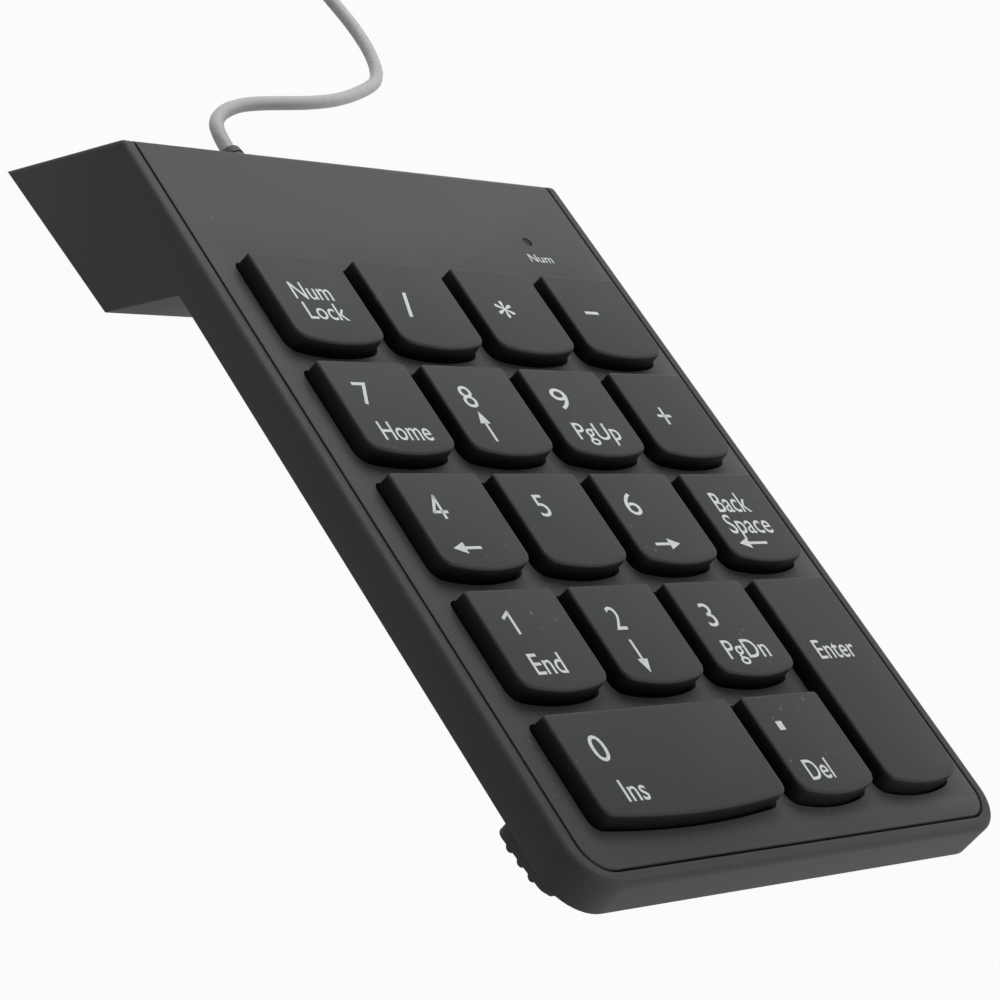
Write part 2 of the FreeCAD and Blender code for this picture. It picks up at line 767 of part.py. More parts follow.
# Straight runs joined by arcs as large as the runs allow; the arcs' radii are printed.
def cord_tube(route):
    points = [Vector(*point) for point in route]
    edges, radii = [], []
    begin = points[0]
    for before, corner, after in zip(points, points[1:], points[2:]):
        come, go = corner - before, after - corner
        turn = come.getAngle(go)
        reach = bend_share * min(come.Length, go.Length)
        radii.append(reach / math.tan(turn / 2))
        come.normalize()
        go.normalize()
        enter, leave = corner - come * reach, corner + go * reach
        inward = go - come
        inward.normalize()
        middle = corner + inward * radii[-1] * (1 / math.cos(turn / 2) - 1)
        edges.append(Part.LineSegment(begin, enter).toShape())
        edges.append(Part.Arc(enter, middle, leave).toShape())
        begin = leave
    edges.append(Part.LineSegment(begin, points[-1]).toShape())
    path = Part.Wire(edges)
    solid = tube(path, points[0], points[1] - points[0], cord_radius)
    section = math.pi * cord_radius ** 2
    print("cord radii", [round(radius, 1) for radius in radii])
    print("cord length", round(path.Length, 1), "volume share", solid.Volume / (path.Length * section))
    return solid


def cord_coil():
    thickness = 2 * cord_radius * coil_rows
    low, high = coil_lift, coil_lift + thickness
    inner, outer = coil_radius - thickness / 2, coil_radius + thickness / 2
    round_x, round_z = cord_radius, cord_radius
    corners = [(inner + round_x, low), (outer - round_x, low), (outer, low + round_z),
               (outer, high - round_z), (outer - round_x, high), (inner + round_x, high),
               (inner, high - round_z), (inner, low + round_z)]
    points = [Vector(x, 0, z) for x, z in corners]
    ring = Part.Face(Part.makePolygon(points + points[:1])).revolve(
        Vector(0, 0, 0), Vector(0, 0, 1), 360)
    band_x0, band_x1 = inner - tie_thickness, outer + tie_thickness
    half = tie_length / 2
    band = box(band_x0, band_x1, -half, half, low - tie_thickness, high + tie_thickness)
    tie = band.cut(box(inner, outer, -half, half, low, high))
    tie = tie.cut(ring)
    for shape in (ring, tie):
        shape.rotate(Vector(0, 0, 0), Vector(0, 0, 1), tie_angle)
        shape.translate(Vector(*coil_centre, 0))
    return ring, tie


def plug():
    start = Vector(*tail_route[-1])
    x, y, z = start
    relief = Part.makeCone(cord_radius + plug_shell_wall, plug_relief_radius, plug_relief_length,
                           start, Vector(-1, 0, 0))
    grip_x1 = x - plug_relief_length
    grip_x0 = grip_x1 - plug_grip_length
    half = plug_grip_width / 2
    grip = box(grip_x0, grip_x1, y - half, y + half, z - plug_grip_height / 2, z + plug_grip_height / 2)
    along = [edge for edge in grip.Edges if edge.BoundBox.XLength > plug_grip_length / 2]
    grip = grip.makeFillet(plug_grip_corner, along)
    shell_x0 = grip_x0 - plug_shell_length
    half_w, half_h = plug_shell_width / 2, plug_shell_height / 2
    shell = box(shell_x0, grip_x0, y - half_w, y + half_w, z - half_h, z + half_h)
    half_w, half_h = half_w - plug_shell_wall, half_h - plug_shell_wall
    shell = shell.cut(box(shell_x0, grip_x0, y - half_w, y + half_w, z - half_h, z + half_h))
    tongue_top = z - half_h + plug_tongue_height
    tongue = box(shell_x0 + plug_tongue_inset, grip_x0, y - half_w, y + half_w, z - half_h, tongue_top)
    contacts = []
    for number in range(plug_contact_count):
        centre = y + (number - (plug_contact_count - 1) / 2) * plug_contact_pitch
        x0 = shell_x0 + 2 * plug_tongue_inset
        contacts.append(box(x0, x0 + plug_contact_length, centre - plug_contact_width / 2,
                            centre + plug_contact_width / 2, tongue_top,
                            tongue_top + plug_contact_thickness))
    return {"plug_strain_relief": relief, "plug_grip": grip, "plug_shell": shell,
            "plug_insulator": tongue, "plug_contacts": Part.Compound(contacts)}


def cord_pieces():
    ring, tie = cord_coil()
    pieces = {"cord": cord_tube(cord_route), "cord_coil": ring, "cord_tie": tie,
              "cord_tail": cord_tube(tail_route)}
    pieces.update(plug())
    return pieces


# Turn a piece from the slab's frame into the frame of the standing keypad.
def stand(shape, shift):
    placed = shape.copy()
    placed.rotate(Vector(0, 0, 0), Vector(1, 0, 0), tilt)
    placed.translate(shift)
    return placed


def build():
    keys = key_table()
    shell = envelope()
    pieces = {"bottom_case": bottom_case(shell), "top_cover": top_cover(shell, keys)}
    pieces["key_guide_frame"] = guide_frame(keys)
    pieces["dome_sheet"] = dome_sheet(keys)
    pieces.update(films(keys))
    pieces["backing_plate"] = sheet(floor_top, backing_thickness)
    pieces.update(board_parts())
    pieces["case_screws"] = case_screws()
    names = ("front_foot_left", "front_foot_right", "rear_foot_left", "rear_foot_right")
    for name, place in zip(names, foot_places()):
        pieces[name] = rubber_foot(place, name.startswith("front"))
    relief, back, tip = strain_relief()
    pieces["cable_strain_relief"] = relief
    pieces["internal_lead"] = internal_lead(back)
    for key in keys:
        pieces["key_" + key[0]] = key_cap(key)
        if is_long(key):
            pieces[("zero" if key[0] == "0" else key[0]) + "_stabilizer_wire"] = stabilizer_wire(key)
    return pieces, tip


def main():
    pieces, tip = build()
    stood = {name: stand(shape, Vector(0, 0, 0)) for name, shape in pieces.items()}
    body = [shape for name, shape in stood.items() if name != "cable_strain_relief"]
    whole = Part.Compound(body).optimalBoundingBox()
    shift = Vector(0, -(whole.YMin + whole.YMax) / 2, -whole.ZMin)
    print("box", whole, "shift", shift)
    os.makedirs("parts", exist_ok=True)
    for shape in stood.values():
        shape.translate(shift)
    stood.update(cord_pieces())
    for name, shape in stood.items():
        shape.exportStep("parts/" + name + ".step")
        print(name, shape.isValid(), len(shape.Solids), round(shape.Volume, 1))
    exit_point = Vector(outlet_x, tip, outlet_z)
    turned = Rotation(Vector(1, 0, 0), tilt).multVec(exit_point) + shift
    print("exit", turned)


main()
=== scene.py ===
import math

import bpy
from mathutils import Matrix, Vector


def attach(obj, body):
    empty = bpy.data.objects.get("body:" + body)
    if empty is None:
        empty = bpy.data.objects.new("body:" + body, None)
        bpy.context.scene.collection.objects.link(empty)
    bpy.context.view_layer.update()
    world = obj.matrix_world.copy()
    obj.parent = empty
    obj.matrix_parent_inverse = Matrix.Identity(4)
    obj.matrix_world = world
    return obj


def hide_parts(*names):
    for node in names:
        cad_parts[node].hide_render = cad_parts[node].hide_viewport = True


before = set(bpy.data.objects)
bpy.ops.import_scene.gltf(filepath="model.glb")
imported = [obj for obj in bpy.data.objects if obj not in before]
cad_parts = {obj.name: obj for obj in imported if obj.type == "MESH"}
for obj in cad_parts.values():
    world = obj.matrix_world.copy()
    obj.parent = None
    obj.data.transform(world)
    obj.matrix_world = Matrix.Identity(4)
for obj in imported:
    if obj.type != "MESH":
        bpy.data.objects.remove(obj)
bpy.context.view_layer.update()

# Everything on the keypad is drawn lying flat, in millimetres, with the origin on the key tops
# at the middle of the keys, and is then tilted onto its feet.
mm = 0.001
standing = {"tilt": 5.5, "shift": (0, -15.834, 14.9897)}


def dropSelection():
    bpy.ops.object.select_all(action="DESELECT")


def takeUp(piece):
    dropSelection()
    piece.select_set(True)
    bpy.context.view_layer.objects.active = piece


def applyPlace(piece):
    takeUp(piece)
    bpy.ops.object.transform_apply(location=True, rotation=True, scale=True)


def block(name, low, high):
    dropSelection()
    centre = [(a + b) / 2 * mm for a, b in zip(low, high)]
    bpy.ops.mesh.primitive_cube_add(size=1, location=centre)
    piece = bpy.context.object
    piece.name = name
    piece.scale = [(b - a) * mm for a, b in zip(low, high)]
    applyPlace(piece)
    return piece


def rod(name, centre, radius, length, axis="z", sides=32):
    dropSelection()
    turn = {"x": (0, math.pi / 2, 0), "y": (math.pi / 2, 0, 0), "z": (0, 0, 0)}[axis]
    bpy.ops.mesh.primitive_cylinder_add(vertices=sides, radius=radius * mm, depth=length * mm,
                                        location=[c * mm for c in centre], rotation=turn)
    piece = bpy.context.object
    piece.name = name
    applyPlace(piece)
    return piece


# Marks the corners, edges or faces that pass a test on their middle and direction, in mm.
def pick(piece, kind, test):
    mesh = piece.data
    for parts in (mesh.vertices, mesh.edges, mesh.polygons):
        parts.foreach_set("select", [False] * len(parts))
    points = [v.co / mm for v in mesh.vertices]
    for part in getattr(mesh, kind):
        if kind == "vertices":
            part.select = test(points[part.index])
        elif kind == "polygons":
            part.select = test(part.center / mm, part.normal)
        else:
            a, b = (points[i] for i in part.vertices)
            part.select = test((a + b) / 2, b - a)
            if part.select:
                for i in part.vertices:
                    mesh.vertices[i].select = True


def edit(piece, kind, test, *steps):
    takeUp(piece)
    modes = (kind == "vertices", kind == "edges", kind == "polygons")
    bpy.context.tool_settings.mesh_select_mode = modes
    pick(piece, kind, test)
    bpy.ops.object.mode_set(mode="EDIT")
    for operator, settings in steps:
        operator(**settings)
    bpy.ops.object.mode_set(mode="OBJECT")
    return piece


def roundEdges(piece, test, width, steps=4, clamp=True):
    settings = {"offset": width * mm, "offset_type": "OFFSET", "segments": steps, "profile": 0.5,
                "affect": "EDGES", "clamp_overlap": clamp}
    edit(piece, "edges", test, (bpy.ops.mesh.bevel, settings))


def push(piece, kind, test, move):
    value = [m * mm for m in move]
    edit(piece, kind, test, (bpy.ops.transform.translate, {"value": value}))


def pull(piece, test, move):
    settings = {"TRANSFORM_OT_translate": {"value": [m * mm for m in move]}}
    edit(piece, "polygons", test, (bpy.ops.mesh.extrude_region_move, settings))


def slice(piece, point, normal):
    settings = {"plane_co": [p * mm for p in point], "plane_no": normal}
    edit(piece, "polygons", lambda centre, n: True, (bpy.ops.mesh.bisect, settings))


def applyModifier(piece, kind, **settings):
    takeUp(piece)
    modifier = piece.modifiers.new(kind.title(), kind)
    for key, value in settings.items():
        setattr(modifier, key, value)
    bpy.ops.object.modifier_apply(modifier=modifier.name)


def combine(piece, tool, operation):
    applyModifier(piece, "BOOLEAN", object=tool, operation=operation, solver="EXACT")
    bpy.data.objects.remove(tool)


def softenEdges(piece, width, steps=2, angle=35):
    applyModifier(piece, "BEVEL", width=width * mm, segments=steps, limit_method="ANGLE",
                  angle_limit=math.radians(angle), use_clamp_overlap=True)


def joinAll(name, parts):
    dropSelection()
    for part in parts:
        part.select_set(True)
    bpy.context.view_layer.objects.active = parts[0]
    if len(parts) > 1:
        bpy.ops.object.join()
    parts[0].name = name
    return parts[0]


def copyOf(piece, name, move=(0, 0, 0)):
    twin = piece.copy()
    twin.data = piece.data.copy()
    twin.name = name
    bpy.context.scene.collection.objects.link(twin)
    twin.location = [m * mm for m in move]
    applyPlace(twin)
    return twin


def stand(piece):
    piece.rotation_euler = (math.radians(standing["tilt"]), 0, 0)
    piece.location = [s * mm for s in standing["shift"]]
    applyPlace(piece)


def finishPiece(piece, body, material, nodes=(), angle=35, onSlab=True):
    if onSlab:
        stand(piece)
    takeUp(piece)
    bpy.ops.object.shade_smooth_by_angle(angle=math.radians(angle))
    piece.data.materials.clear()
    piece.data.materials.append(material)
    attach(piece, body)
    if nodes:
        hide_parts(*nodes)
    return piece


# Finishes. Each is moulded stock with a fine grain, a slow drift of tone and a faint wear; the keycaps
# also have painted shade.
def startMaterial(name):
    material = bpy.data.materials.new(name)
    material.use_nodes = True
    nodes, links = material.node_tree.nodes, material.node_tree.links
    return material, nodes, links, nodes["Principled BSDF"]


def toneRamp(nodes, low, high, dark, light):
    ramp = nodes.new("ShaderNodeValToRGB")
    ramp.color_ramp.elements[0].position = low
    ramp.color_ramp.elements[1].position = high
    ramp.color_ramp.elements[0].color = (*dark, 1)
    ramp.color_ramp.elements[1].color = (*light, 1)
    return ramp


def noise(nodes, links, coordinates, scale, detail=3.0, roughness=0.5):
    texture = nodes.new("ShaderNodeTexNoise")
    texture.inputs["Scale"].default_value = scale
    texture.inputs["Detail"].default_value = detail
    texture.inputs["Roughness"].default_value = roughness
    links.new(coordinates.outputs["Object"], texture.inputs["Vector"])
    return texture


# Painted shade for the keycap walls, standing in for the shade that falls inside the cover's holes.
# Darkens a piece by its depth below the key tops, as (depth in mm, share of the colour) steps.
def paintedWallShade(nodes, links, coordinates, colour, steps):
    tilt = math.radians(standing["tilt"])
    y, z = standing["shift"][1:]
    flat = nodes.new("ShaderNodeMapping")
    flat.inputs["Rotation"].default_value = (-tilt, 0, 0)
    flat.inputs["Location"].default_value = (0, -(y * math.cos(tilt) + z * math.sin(tilt)) * mm,
                                             -(z * math.cos(tilt) - y * math.sin(tilt)) * mm)
    links.new(coordinates.outputs["Object"], flat.inputs["Vector"])
    axes = nodes.new("ShaderNodeSeparateXYZ")
    links.new(flat.outputs["Vector"], axes.inputs["Vector"])
    depth = nodes.new("ShaderNodeMapRange")
    depth.inputs["From Min"].default_value = 0.0
    depth.inputs["From Max"].default_value = -4 * mm
    links.new(axes.outputs["Z"], depth.inputs["Value"])
    ramp = nodes.new("ShaderNodeValToRGB")
    marks = ramp.color_ramp.elements
    while len(marks) < len(steps):
        marks.new(0.5)
    for mark, (down, share) in zip(marks, steps):
        mark.position = down / 4
        mark.color = (share, share, share, 1)
    links.new(depth.outputs["Result"], ramp.inputs["Fac"])
    shaded = nodes.new("ShaderNodeMix")
    shaded.data_type = "RGBA"
    shaded.blend_type = "MULTIPLY"
    shaded.inputs["Factor"].default_value = 1.0
    links.new(colour, shaded.inputs["A"])
    links.new(ramp.outputs["Color"], shaded.inputs["B"])
    return shaded.outputs["Result"]


def mouldedPlastic(name, dark, light, rough, grain, depth, specks=0.0, specular=0.5, skirt=()):
    material, nodes, links, shader = startMaterial(name)
    coordinates = nodes.new("ShaderNodeTexCoord")
    drift = noise(nodes, links, coordinates, 38, 2.0)
    tone = toneRamp(nodes, 0.3, 0.7, dark, light)
    links.new(drift.outputs["Fac"], tone.inputs["Fac"])
    fine = noise(nodes, links, coordinates, grain, 2.0, 0.6)
    mottle = nodes.new("ShaderNodeMix")
    mottle.data_type = "RGBA"
    mottle.blend_type = "MULTIPLY"
    mottle.inputs["Factor"].default_value = 1.0
    shade = toneRamp(nodes, 0.3, 0.7, (0.9, 0.9, 0.9), (1.08, 1.08, 1.08))
    links.new(fine.outputs["Fac"], shade.inputs["Fac"])
    links.new(tone.outputs["Color"], mottle.inputs["A"])
    links.new(shade.outputs["Color"], mottle.inputs["B"])
    colour = mottle.outputs["Result"]
    if specks:
        cells = nodes.new("ShaderNodeTexVoronoi")
        cells.inputs["Scale"].default_value = 420
        links.new(coordinates.outputs["Object"], cells.inputs["Vector"])
        spot = toneRamp(nodes, 0.0, specks, (1, 1, 1), (0, 0, 0))
        links.new(cells.outputs["Distance"], spot.inputs["Fac"])
        patches = noise(nodes, links, coordinates, 60, 1.0)
        where = toneRamp(nodes, 0.55, 0.7, (0, 0, 0), (0.35, 0.35, 0.35))
        links.new(patches.outputs["Fac"], where.inputs["Fac"])
        amount = nodes.new("ShaderNodeMath")
        amount.operation = "MULTIPLY"
        links.new(spot.outputs["Color"], amount.inputs[0])
        links.new(where.outputs["Color"], amount.inputs[1])
        dust = nodes.new("ShaderNodeMix")
        dust.data_type = "RGBA"
        dust.inputs["B"].default_value = (0.42, 0.43, 0.4, 1)
        links.new(amount.outputs["Value"], dust.inputs["Factor"])
        links.new(colour, dust.inputs["A"])
        colour = dust.outputs["Result"]
    # Painted shade: the skirt steps darken the colour with depth below the key tops.
    if skirt:
        colour = paintedWallShade(nodes, links, coordinates, colour, skirt)
    links.new(colour, shader.inputs["Base Color"])
    polish = nodes.new("ShaderNodeMapRange")
    polish.inputs["To Min"].default_value = rough[0]
    polish.inputs["To Max"].default_value = rough[1]
    links.new(drift.outputs["Fac"], polish.inputs["Value"])
    links.new(polish.outputs["Result"], shader.inputs["Roughness"])
    bump = nodes.new("ShaderNodeBump")
    bump.inputs["Strength"].default_value = 0.5
    bump.inputs["Distance"].default_value = depth * mm
    links.new(fine.outputs["Fac"], bump.inputs["Height"])
    links.new(bump.outputs["Normal"], shader.inputs["Normal"])
    shader.inputs["Specular IOR Level"].default_value = specular
    return material


def platedMetal(name, colour, rough, grain):
    material, nodes, links, shader = startMaterial(name)
    coordinates = nodes.new("ShaderNodeTexCoord")
    scratches = noise(nodes, links, coordinates, grain, 4.0, 0.7)
    tone = toneRamp(nodes, 0.35, 0.65, [c * 0.82 for c in colour], colour)
    links.new(scratches.outputs["Fac"], tone.inputs["Fac"])
    links.new(tone.outputs["Color"], shader.inputs["Base Color"])
    polish = nodes.new("ShaderNodeMapRange")
    polish.inputs["To Min"].default_value = rough[0]
    polish.inputs["To Max"].default_value = rough[1]
    links.new(scratches.outputs["Fac"], polish.inputs["Value"])
    links.new(polish.outputs["Result"], shader.inputs["Roughness"])
    shader.inputs["Metallic"].default_value = 1.0
    return material


finishes = {
    "caseCharcoal": mouldedPlastic("caseCharcoal", (0.052, 0.054, 0.052), (0.066, 0.068, 0.065),
                                   (0.5, 0.62), 3200, 0.03, specular=0.2),
    "coverCharcoal": mouldedPlastic("coverCharcoal", (0.062, 0.067, 0.067), (0.078, 0.083, 0.083),
                                    (0.5, 0.6), 3600, 0.03, specks=0.13, specular=0.2),
    # The keycaps' skirt steps are painted shade, near black 2 mm down their walls.
    "keyCharcoal": mouldedPlastic("keyCharcoal", (0.047, 0.053, 0.053), (0.059, 0.065, 0.064),
                                  (0.42, 0.52), 4200, 0.02, specks=0.16, specular=0.13,
                                  skirt=((0.1, 1.0), (0.45, 0.2), (1.1, 0.07), (2.0, 0.015))),
    "legendWhite": mouldedPlastic("legendWhite", (0.84, 0.88, 0.88), (0.9, 0.93, 0.93), (0.5, 0.6),
                                  3000, 0.004),
    "guideBlack": mouldedPlastic("guideBlack", (0.008, 0.008, 0.008), (0.013, 0.013, 0.013),
                                 (0.6, 0.7), 3000, 0.03),
    "siliconeWhite": mouldedPlastic("siliconeWhite", (0.62, 0.65, 0.64), (0.75, 0.77, 0.76),
                                    (0.5, 0.65), 1500, 0.02),
    "filmClear": mouldedPlastic("filmClear", (0.55, 0.57, 0.53), (0.68, 0.7, 0.64), (0.2, 0.3),
                                900, 0.004),
    "boardGreen": mouldedPlastic("boardGreen", (0.012, 0.09, 0.035), (0.018, 0.13, 0.05),
                                 (0.3, 0.4), 1200, 0.01),
    "resinBlack": mouldedPlastic("resinBlack", (0.012, 0.012, 0.012), (0.02, 0.02, 0.02),
                                 (0.55, 0.65), 4000, 0.02),
    "lensClear": mouldedPlastic("lensClear", (0.6, 0.7, 0.55), (0.7, 0.8, 0.62), (0.15, 0.25),
                                900, 0.002),
    "windowSmoke": mouldedPlastic("windowSmoke", (0.003, 0.003, 0.003), (0.005, 0.005, 0.005),
                                  (0.35, 0.5), 900, 0.002, specular=0.15),
    "footRubber": mouldedPlastic("footRubber", (0.012, 0.012, 0.012), (0.02, 0.02, 0.02),
                                 (0.7, 0.85), 2400, 0.04),
    "jacketGrey": mouldedPlastic("jacketGrey", (0.55, 0.55, 0.55), (0.63, 0.63, 0.63), (0.45, 0.55),
                                 1800, 0.01),
    "tieBlack": mouldedPlastic("tieBlack", (0.012, 0.012, 0.013), (0.02, 0.02, 0.022),
                               (0.6, 0.75), 1500, 0.05),
    "plugCharcoal": mouldedPlastic("plugCharcoal", (0.03, 0.031, 0.031), (0.042, 0.043, 0.043),
                                   (0.5, 0.62), 2200, 0.03),
    "tongueWhite": mouldedPlastic("tongueWhite", (0.6, 0.6, 0.58), (0.72, 0.72, 0.7),
                                  (0.35, 0.45), 1500, 0.004),
    "zincSheet": platedMetal("zincSheet", (0.6, 0.6, 0.58), (0.3, 0.45), 700),
    "screwZinc": platedMetal("screwZinc", (0.55, 0.55, 0.55), (0.25, 0.4), 2500),
    "shellSteel": platedMetal("shellSteel", (0.68, 0.67, 0.65), (0.2, 0.34), 1500),
    "contactGold": platedMetal("contactGold", (0.83, 0.62, 0.27), (0.18, 0.3), 1500),
}
print("finishes mixed:", len(finishes))

# The shell's side outline and the tray and the cover cut from it.
shell = {
    "half": 43.1, "front": -52.9, "top": -2.5, "bottom": -8.1, "rearTop": 68.53, "step": 45.4,
    "foot": (53.89, -20.0), "heel": (82.29, -21.94), "frontCorner": 6.5, "rimRound": 0.8,
    "edgeRound": 0.2,
}
tray = {
    "half": 41.2, "front": -51.0, "top": 4.0, "bottom": -7.1, "rearTop": 61.72, "step": 46.9,
    "foot": (54.86, -18.26), "heel": (78.63, -19.88), "frontCorner": 4.35,
    "lipStart": 60.0, "lipFloor": -5.35, "grooveRound": 0.15,
}


def isLengthwise(direction, axis):
    return abs(direction[axis]) > 0.98 * direction.length


def humpedBlock(name, form):
    lean = (form["heel"][0] - form["rearTop"]) / (form["top"] - form["heel"][1])
    rearAtBottom = form["heel"][0] - (form["bottom"] - form["heel"][1]) * lean
    piece = block(name, (-form["half"], form["front"], form["bottom"]),
                  (form["half"], rearAtBottom, form["top"]))
    slice(piece, (0, form["step"], 0), (0, 1, 0))
    drop = form["bottom"] - form["foot"][1]
    pull(piece, lambda c, n: n.z < -0.9 and c.y > form["step"], (0, 0, -drop))
    low = form["foot"][1]
    push(piece, "vertices", lambda p: p.z < low + 0.1 and p.y < form["step"] + 0.1,
         (0, form["foot"][0] - form["step"], 0))
    push(piece, "vertices", lambda p: p.z < low + 0.1 and abs(p.y - rearAtBottom) < 0.1,
         (0, form["heel"][0] - rearAtBottom, form["heel"][1] - low))
    push(piece, "vertices", lambda p: p.z > form["top"] - 0.1 and p.y > form["step"] + 0.1,
         (0, form["rearTop"] - rearAtBottom, 0))
    settings = {"angle_limit": math.radians(0.5)}
    edit(piece, "polygons", lambda c, n: True, (bpy.ops.mesh.dissolve_limited, settings))
    roundEdges(piece, lambda m, d: isLengthwise(d, 2) and m.y < form["front"] + 0.1,
               form["frontCorner"], 12)
    return piece


def isOutside(middle):
    x, y = abs(middle.x), middle.y
    besideX, besideY = x - shell["half"] + shell["frontCorner"], shell["front"] + shell["frontCorner"] - y
    if besideX > 0 and besideY > 0:
        return math.hypot(besideX, besideY) > shell["frontCorner"] - 0.6
    return x > shell["half"] - 0.1 or y < shell["front"] + 0.1 or y > shell["rearTop"] - 0.1


def isRim(middle, direction):
    onTop = middle.z > shell["top"] - 0.01 and abs(direction.z) < 0.01 and isOutside(middle)
    onRearCorner = middle.y > 70 and abs(middle.x) > shell["half"] - 0.1 and abs(direction.z) > 5
    return onTop or onRearCorner


def isUnderEdge(middle, direction):
    if middle.y > 70 and abs(direction.z) > 5:
        return False
    return middle.z < shell["bottom"] + 0.01 and abs(middle.x) > shell["half"] - 0.1


# A round piece drawn out along its axis, as (distance, radius) steps.
def turned(name, start, along, profile, sides=36):
    dropSelection()
    along = Vector(along)
    start = Vector(start)
    turn = along.to_track_quat("Z", "Y").to_euler()
    bpy.ops.mesh.primitive_circle_add(vertices=sides, radius=profile[0][1] * mm, fill_type="NGON",
                                      location=(start + along * profile[0][0]) * mm, rotation=turn)
    piece = bpy.context.object
    piece.name = name
    applyPlace(piece)
    bpy.context.tool_settings.mesh_select_mode = (False, False, True)
    bpy.ops.object.mode_set(mode="EDIT")
    bpy.ops.mesh.select_all(action="SELECT")
    for (a, fromRadius), (b, toRadius) in zip(profile, profile[1:]):
        run = along * (b - a) * mm
        bpy.ops.mesh.extrude_region_move(TRANSFORM_OT_translate={"value": run})
        factor = toRadius / fromRadius
        bpy.ops.transform.resize(value=(factor, factor, factor),
                                 center_override=(start + along * b) * mm)
    bpy.ops.mesh.select_all(action="SELECT")
    bpy.ops.mesh.normals_make_consistent(inside=False)
    bpy.ops.object.mode_set(mode="OBJECT")
    return piece


standPosts = {
    "board": ((-11.5, 53.2), (11.5, 53.2), (-21.0, 65.0), (21.0, 65.0)), "boardTop": -7.8,
    "boardRadius": 2.2, "pilot": 1.0, "wells": ((-35.0, 60.5), (35.0, 60.5)), "wellTop": -11.0,
    "wellRadius": 4.0, "wellBore": 2.6, "wellRoof": 2.0, "screwBore": 1.4,
    "outlet": (-5.0, -16.0), "outletStart": 71.88, "outletBoss": 4.2, "outletBore": 2.2,
}


def caseShell():
    piece = humpedBlock("caseShell", shell)
    whole = copyOf(piece, "whole")
    combine(piece, humpedBlock("hollow", tray), "DIFFERENCE")
    lip = block("lip", (-tray["half"], tray["lipStart"], tray["lipFloor"]), (tray["half"], 90, 5))
    combine(piece, lip, "DIFFERENCE")
    x, z = standPosts["outlet"]
    posts = [rod("post", (*place, (standPosts["boardTop"] - 25) / 2), standPosts["boardRadius"],
                 25 + standPosts["boardTop"]) for place in standPosts["board"]]
    posts += [rod("well", (*place, (standPosts["wellTop"] - 25) / 2), standPosts["wellRadius"],
                  25 + standPosts["wellTop"]) for place in standPosts["wells"]]
    posts.append(rod("outletBoss", (x, standPosts["outletStart"] + 6, z), standPosts["outletBoss"],
                     12, "y"))
    posts = joinAll("posts", posts)
    combine(posts, whole, "INTERSECT")
    combine(piece, posts, "UNION")
    bores = [rod("pilot", (*place, standPosts["boardTop"] - 2.2), standPosts["pilot"], 4.6)
             for place in standPosts["board"]]
    for place in standPosts["wells"]:
        roof = standPosts["wellTop"] - standPosts["wellRoof"]
        bores.append(rod("wellBore", (*place, (roof - 26) / 2), standPosts["wellBore"], 26 + roof))
        bores.append(rod("screwBore", (*place, roof), standPosts["screwBore"], 5))
    bores.append(rod("outletBore", (x, standPosts["outletStart"] + 6, z), standPosts["outletBore"],
                     14, "y"))
    for bore in bores:
        combine(piece, bore, "DIFFERENCE")
    top, inner = shell["top"], tray["half"] + 0.05
    roundEdges(piece, isUnderEdge, shell["edgeRound"], 2, clamp=False)
    roundEdges(piece, isRim, shell["rimRound"], 5, clamp=False)
    roundEdges(piece, lambda m, d: m.z > top - 0.01 and abs(d.z) < 0.01 and abs(m.x) < inner
               and m.y > tray["front"] - 0.05, tray["grooveRound"], 2, clamp=False)
    return piece


finishPiece(caseShell(), "case", finishes["caseCharcoal"], ["bottom_case"])
print("case done")

# The keys. Each has its place on the grid and its legends, as boxes in mm from the key's middle.
keyForms = {
    "single": {"width": 15.9, "depth": 15.9, "bow": 1.35, "columns": 9},
    "wide": {"width": 34.9, "depth": 15.9, "bow": 1.15, "columns": 13},
    "tall": {"width": 15.9, "depth": 34.9, "bow": 1.35, "columns": 9},
}
keySizes = {
    "gap": 0.45, "rearCorner": 0.6, "frontCorner": 1.8, "edge": 0.35, "skirt": 3.3, "roof": 1.0,
    "wall": 1.0, "draft": 0.15, "stem": 7.6, "stemWall": 1.0, "stemFoot": 4.0, "padRadius": 1.7,
    "tabReach": 0.8, "tabLength": 3.0, "tabInset": 3.4, "tabTop": -3.55, "tabBottom": -4.05,
}
keyPitch = 19.0
keyPlaces = {
    "num_lock": (0, 0), "divide": (1, 0), "multiply": (2, 0), "subtract": (3, 0),
    "7": (0, 1), "8": (1, 1), "9": (2, 1), "add": (3, 1),
    "4": (0, 2), "5": (1, 2), "6": (2, 2), "backspace": (3, 2),
    "1": (0, 3), "2": (1, 3), "3": (2, 3), "enter": (3, 3.5),
    "0": (0.5, 4), "decimal": (2, 4),
}
keyKinds = {"0": "wide", "enter": "tall"}


def keyMiddle(key):
    column, row = keyPlaces[key]
    return (column - 1.5) * keyPitch, (2 - row) * keyPitch


def keyBlock(name, kind, grow, bottom, top):
    form = keyForms[kind]
    half, rear = form["width"] / 2 + grow, form["depth"] / 2 + grow
    shoulder = -rear + form["bow"]
    piece = block(name, (-half, shoulder, bottom), (half, rear, top))
    reach = half - 2.4
    columns = [reach * (2 * n / (form["columns"] - 1) - 1) for n in range(form["columns"])]
    bowRadius = (half ** 2 + form["bow"] ** 2) / (2 * form["bow"])
    for x in columns:
        slice(piece, (x, 0, 0), (1, 0, 0))
    for x in columns:
        move = bowRadius - math.sqrt(bowRadius ** 2 - x ** 2) - form["bow"]
        push(piece, "vertices", lambda p: abs(p.x - x) < 0.05 and abs(p.y - shoulder) < 0.05,
             (0, move, 0))
    settings = {"angle_limit": math.radians(0.3)}
    edit(piece, "polygons", lambda c, n: True, (bpy.ops.mesh.dissolve_limited, settings))
    roundEdges(piece, lambda m, d: isLengthwise(d, 2) and m.y > rear - 0.1,
               keySizes["rearCorner"] + grow, 5)
    roundEdges(piece, lambda m, d: isLengthwise(d, 2) and abs(m.x) > half - 0.1 and m.y < 0,
               (keySizes["frontCorner"] + grow) * 0.75, 8)
    return piece


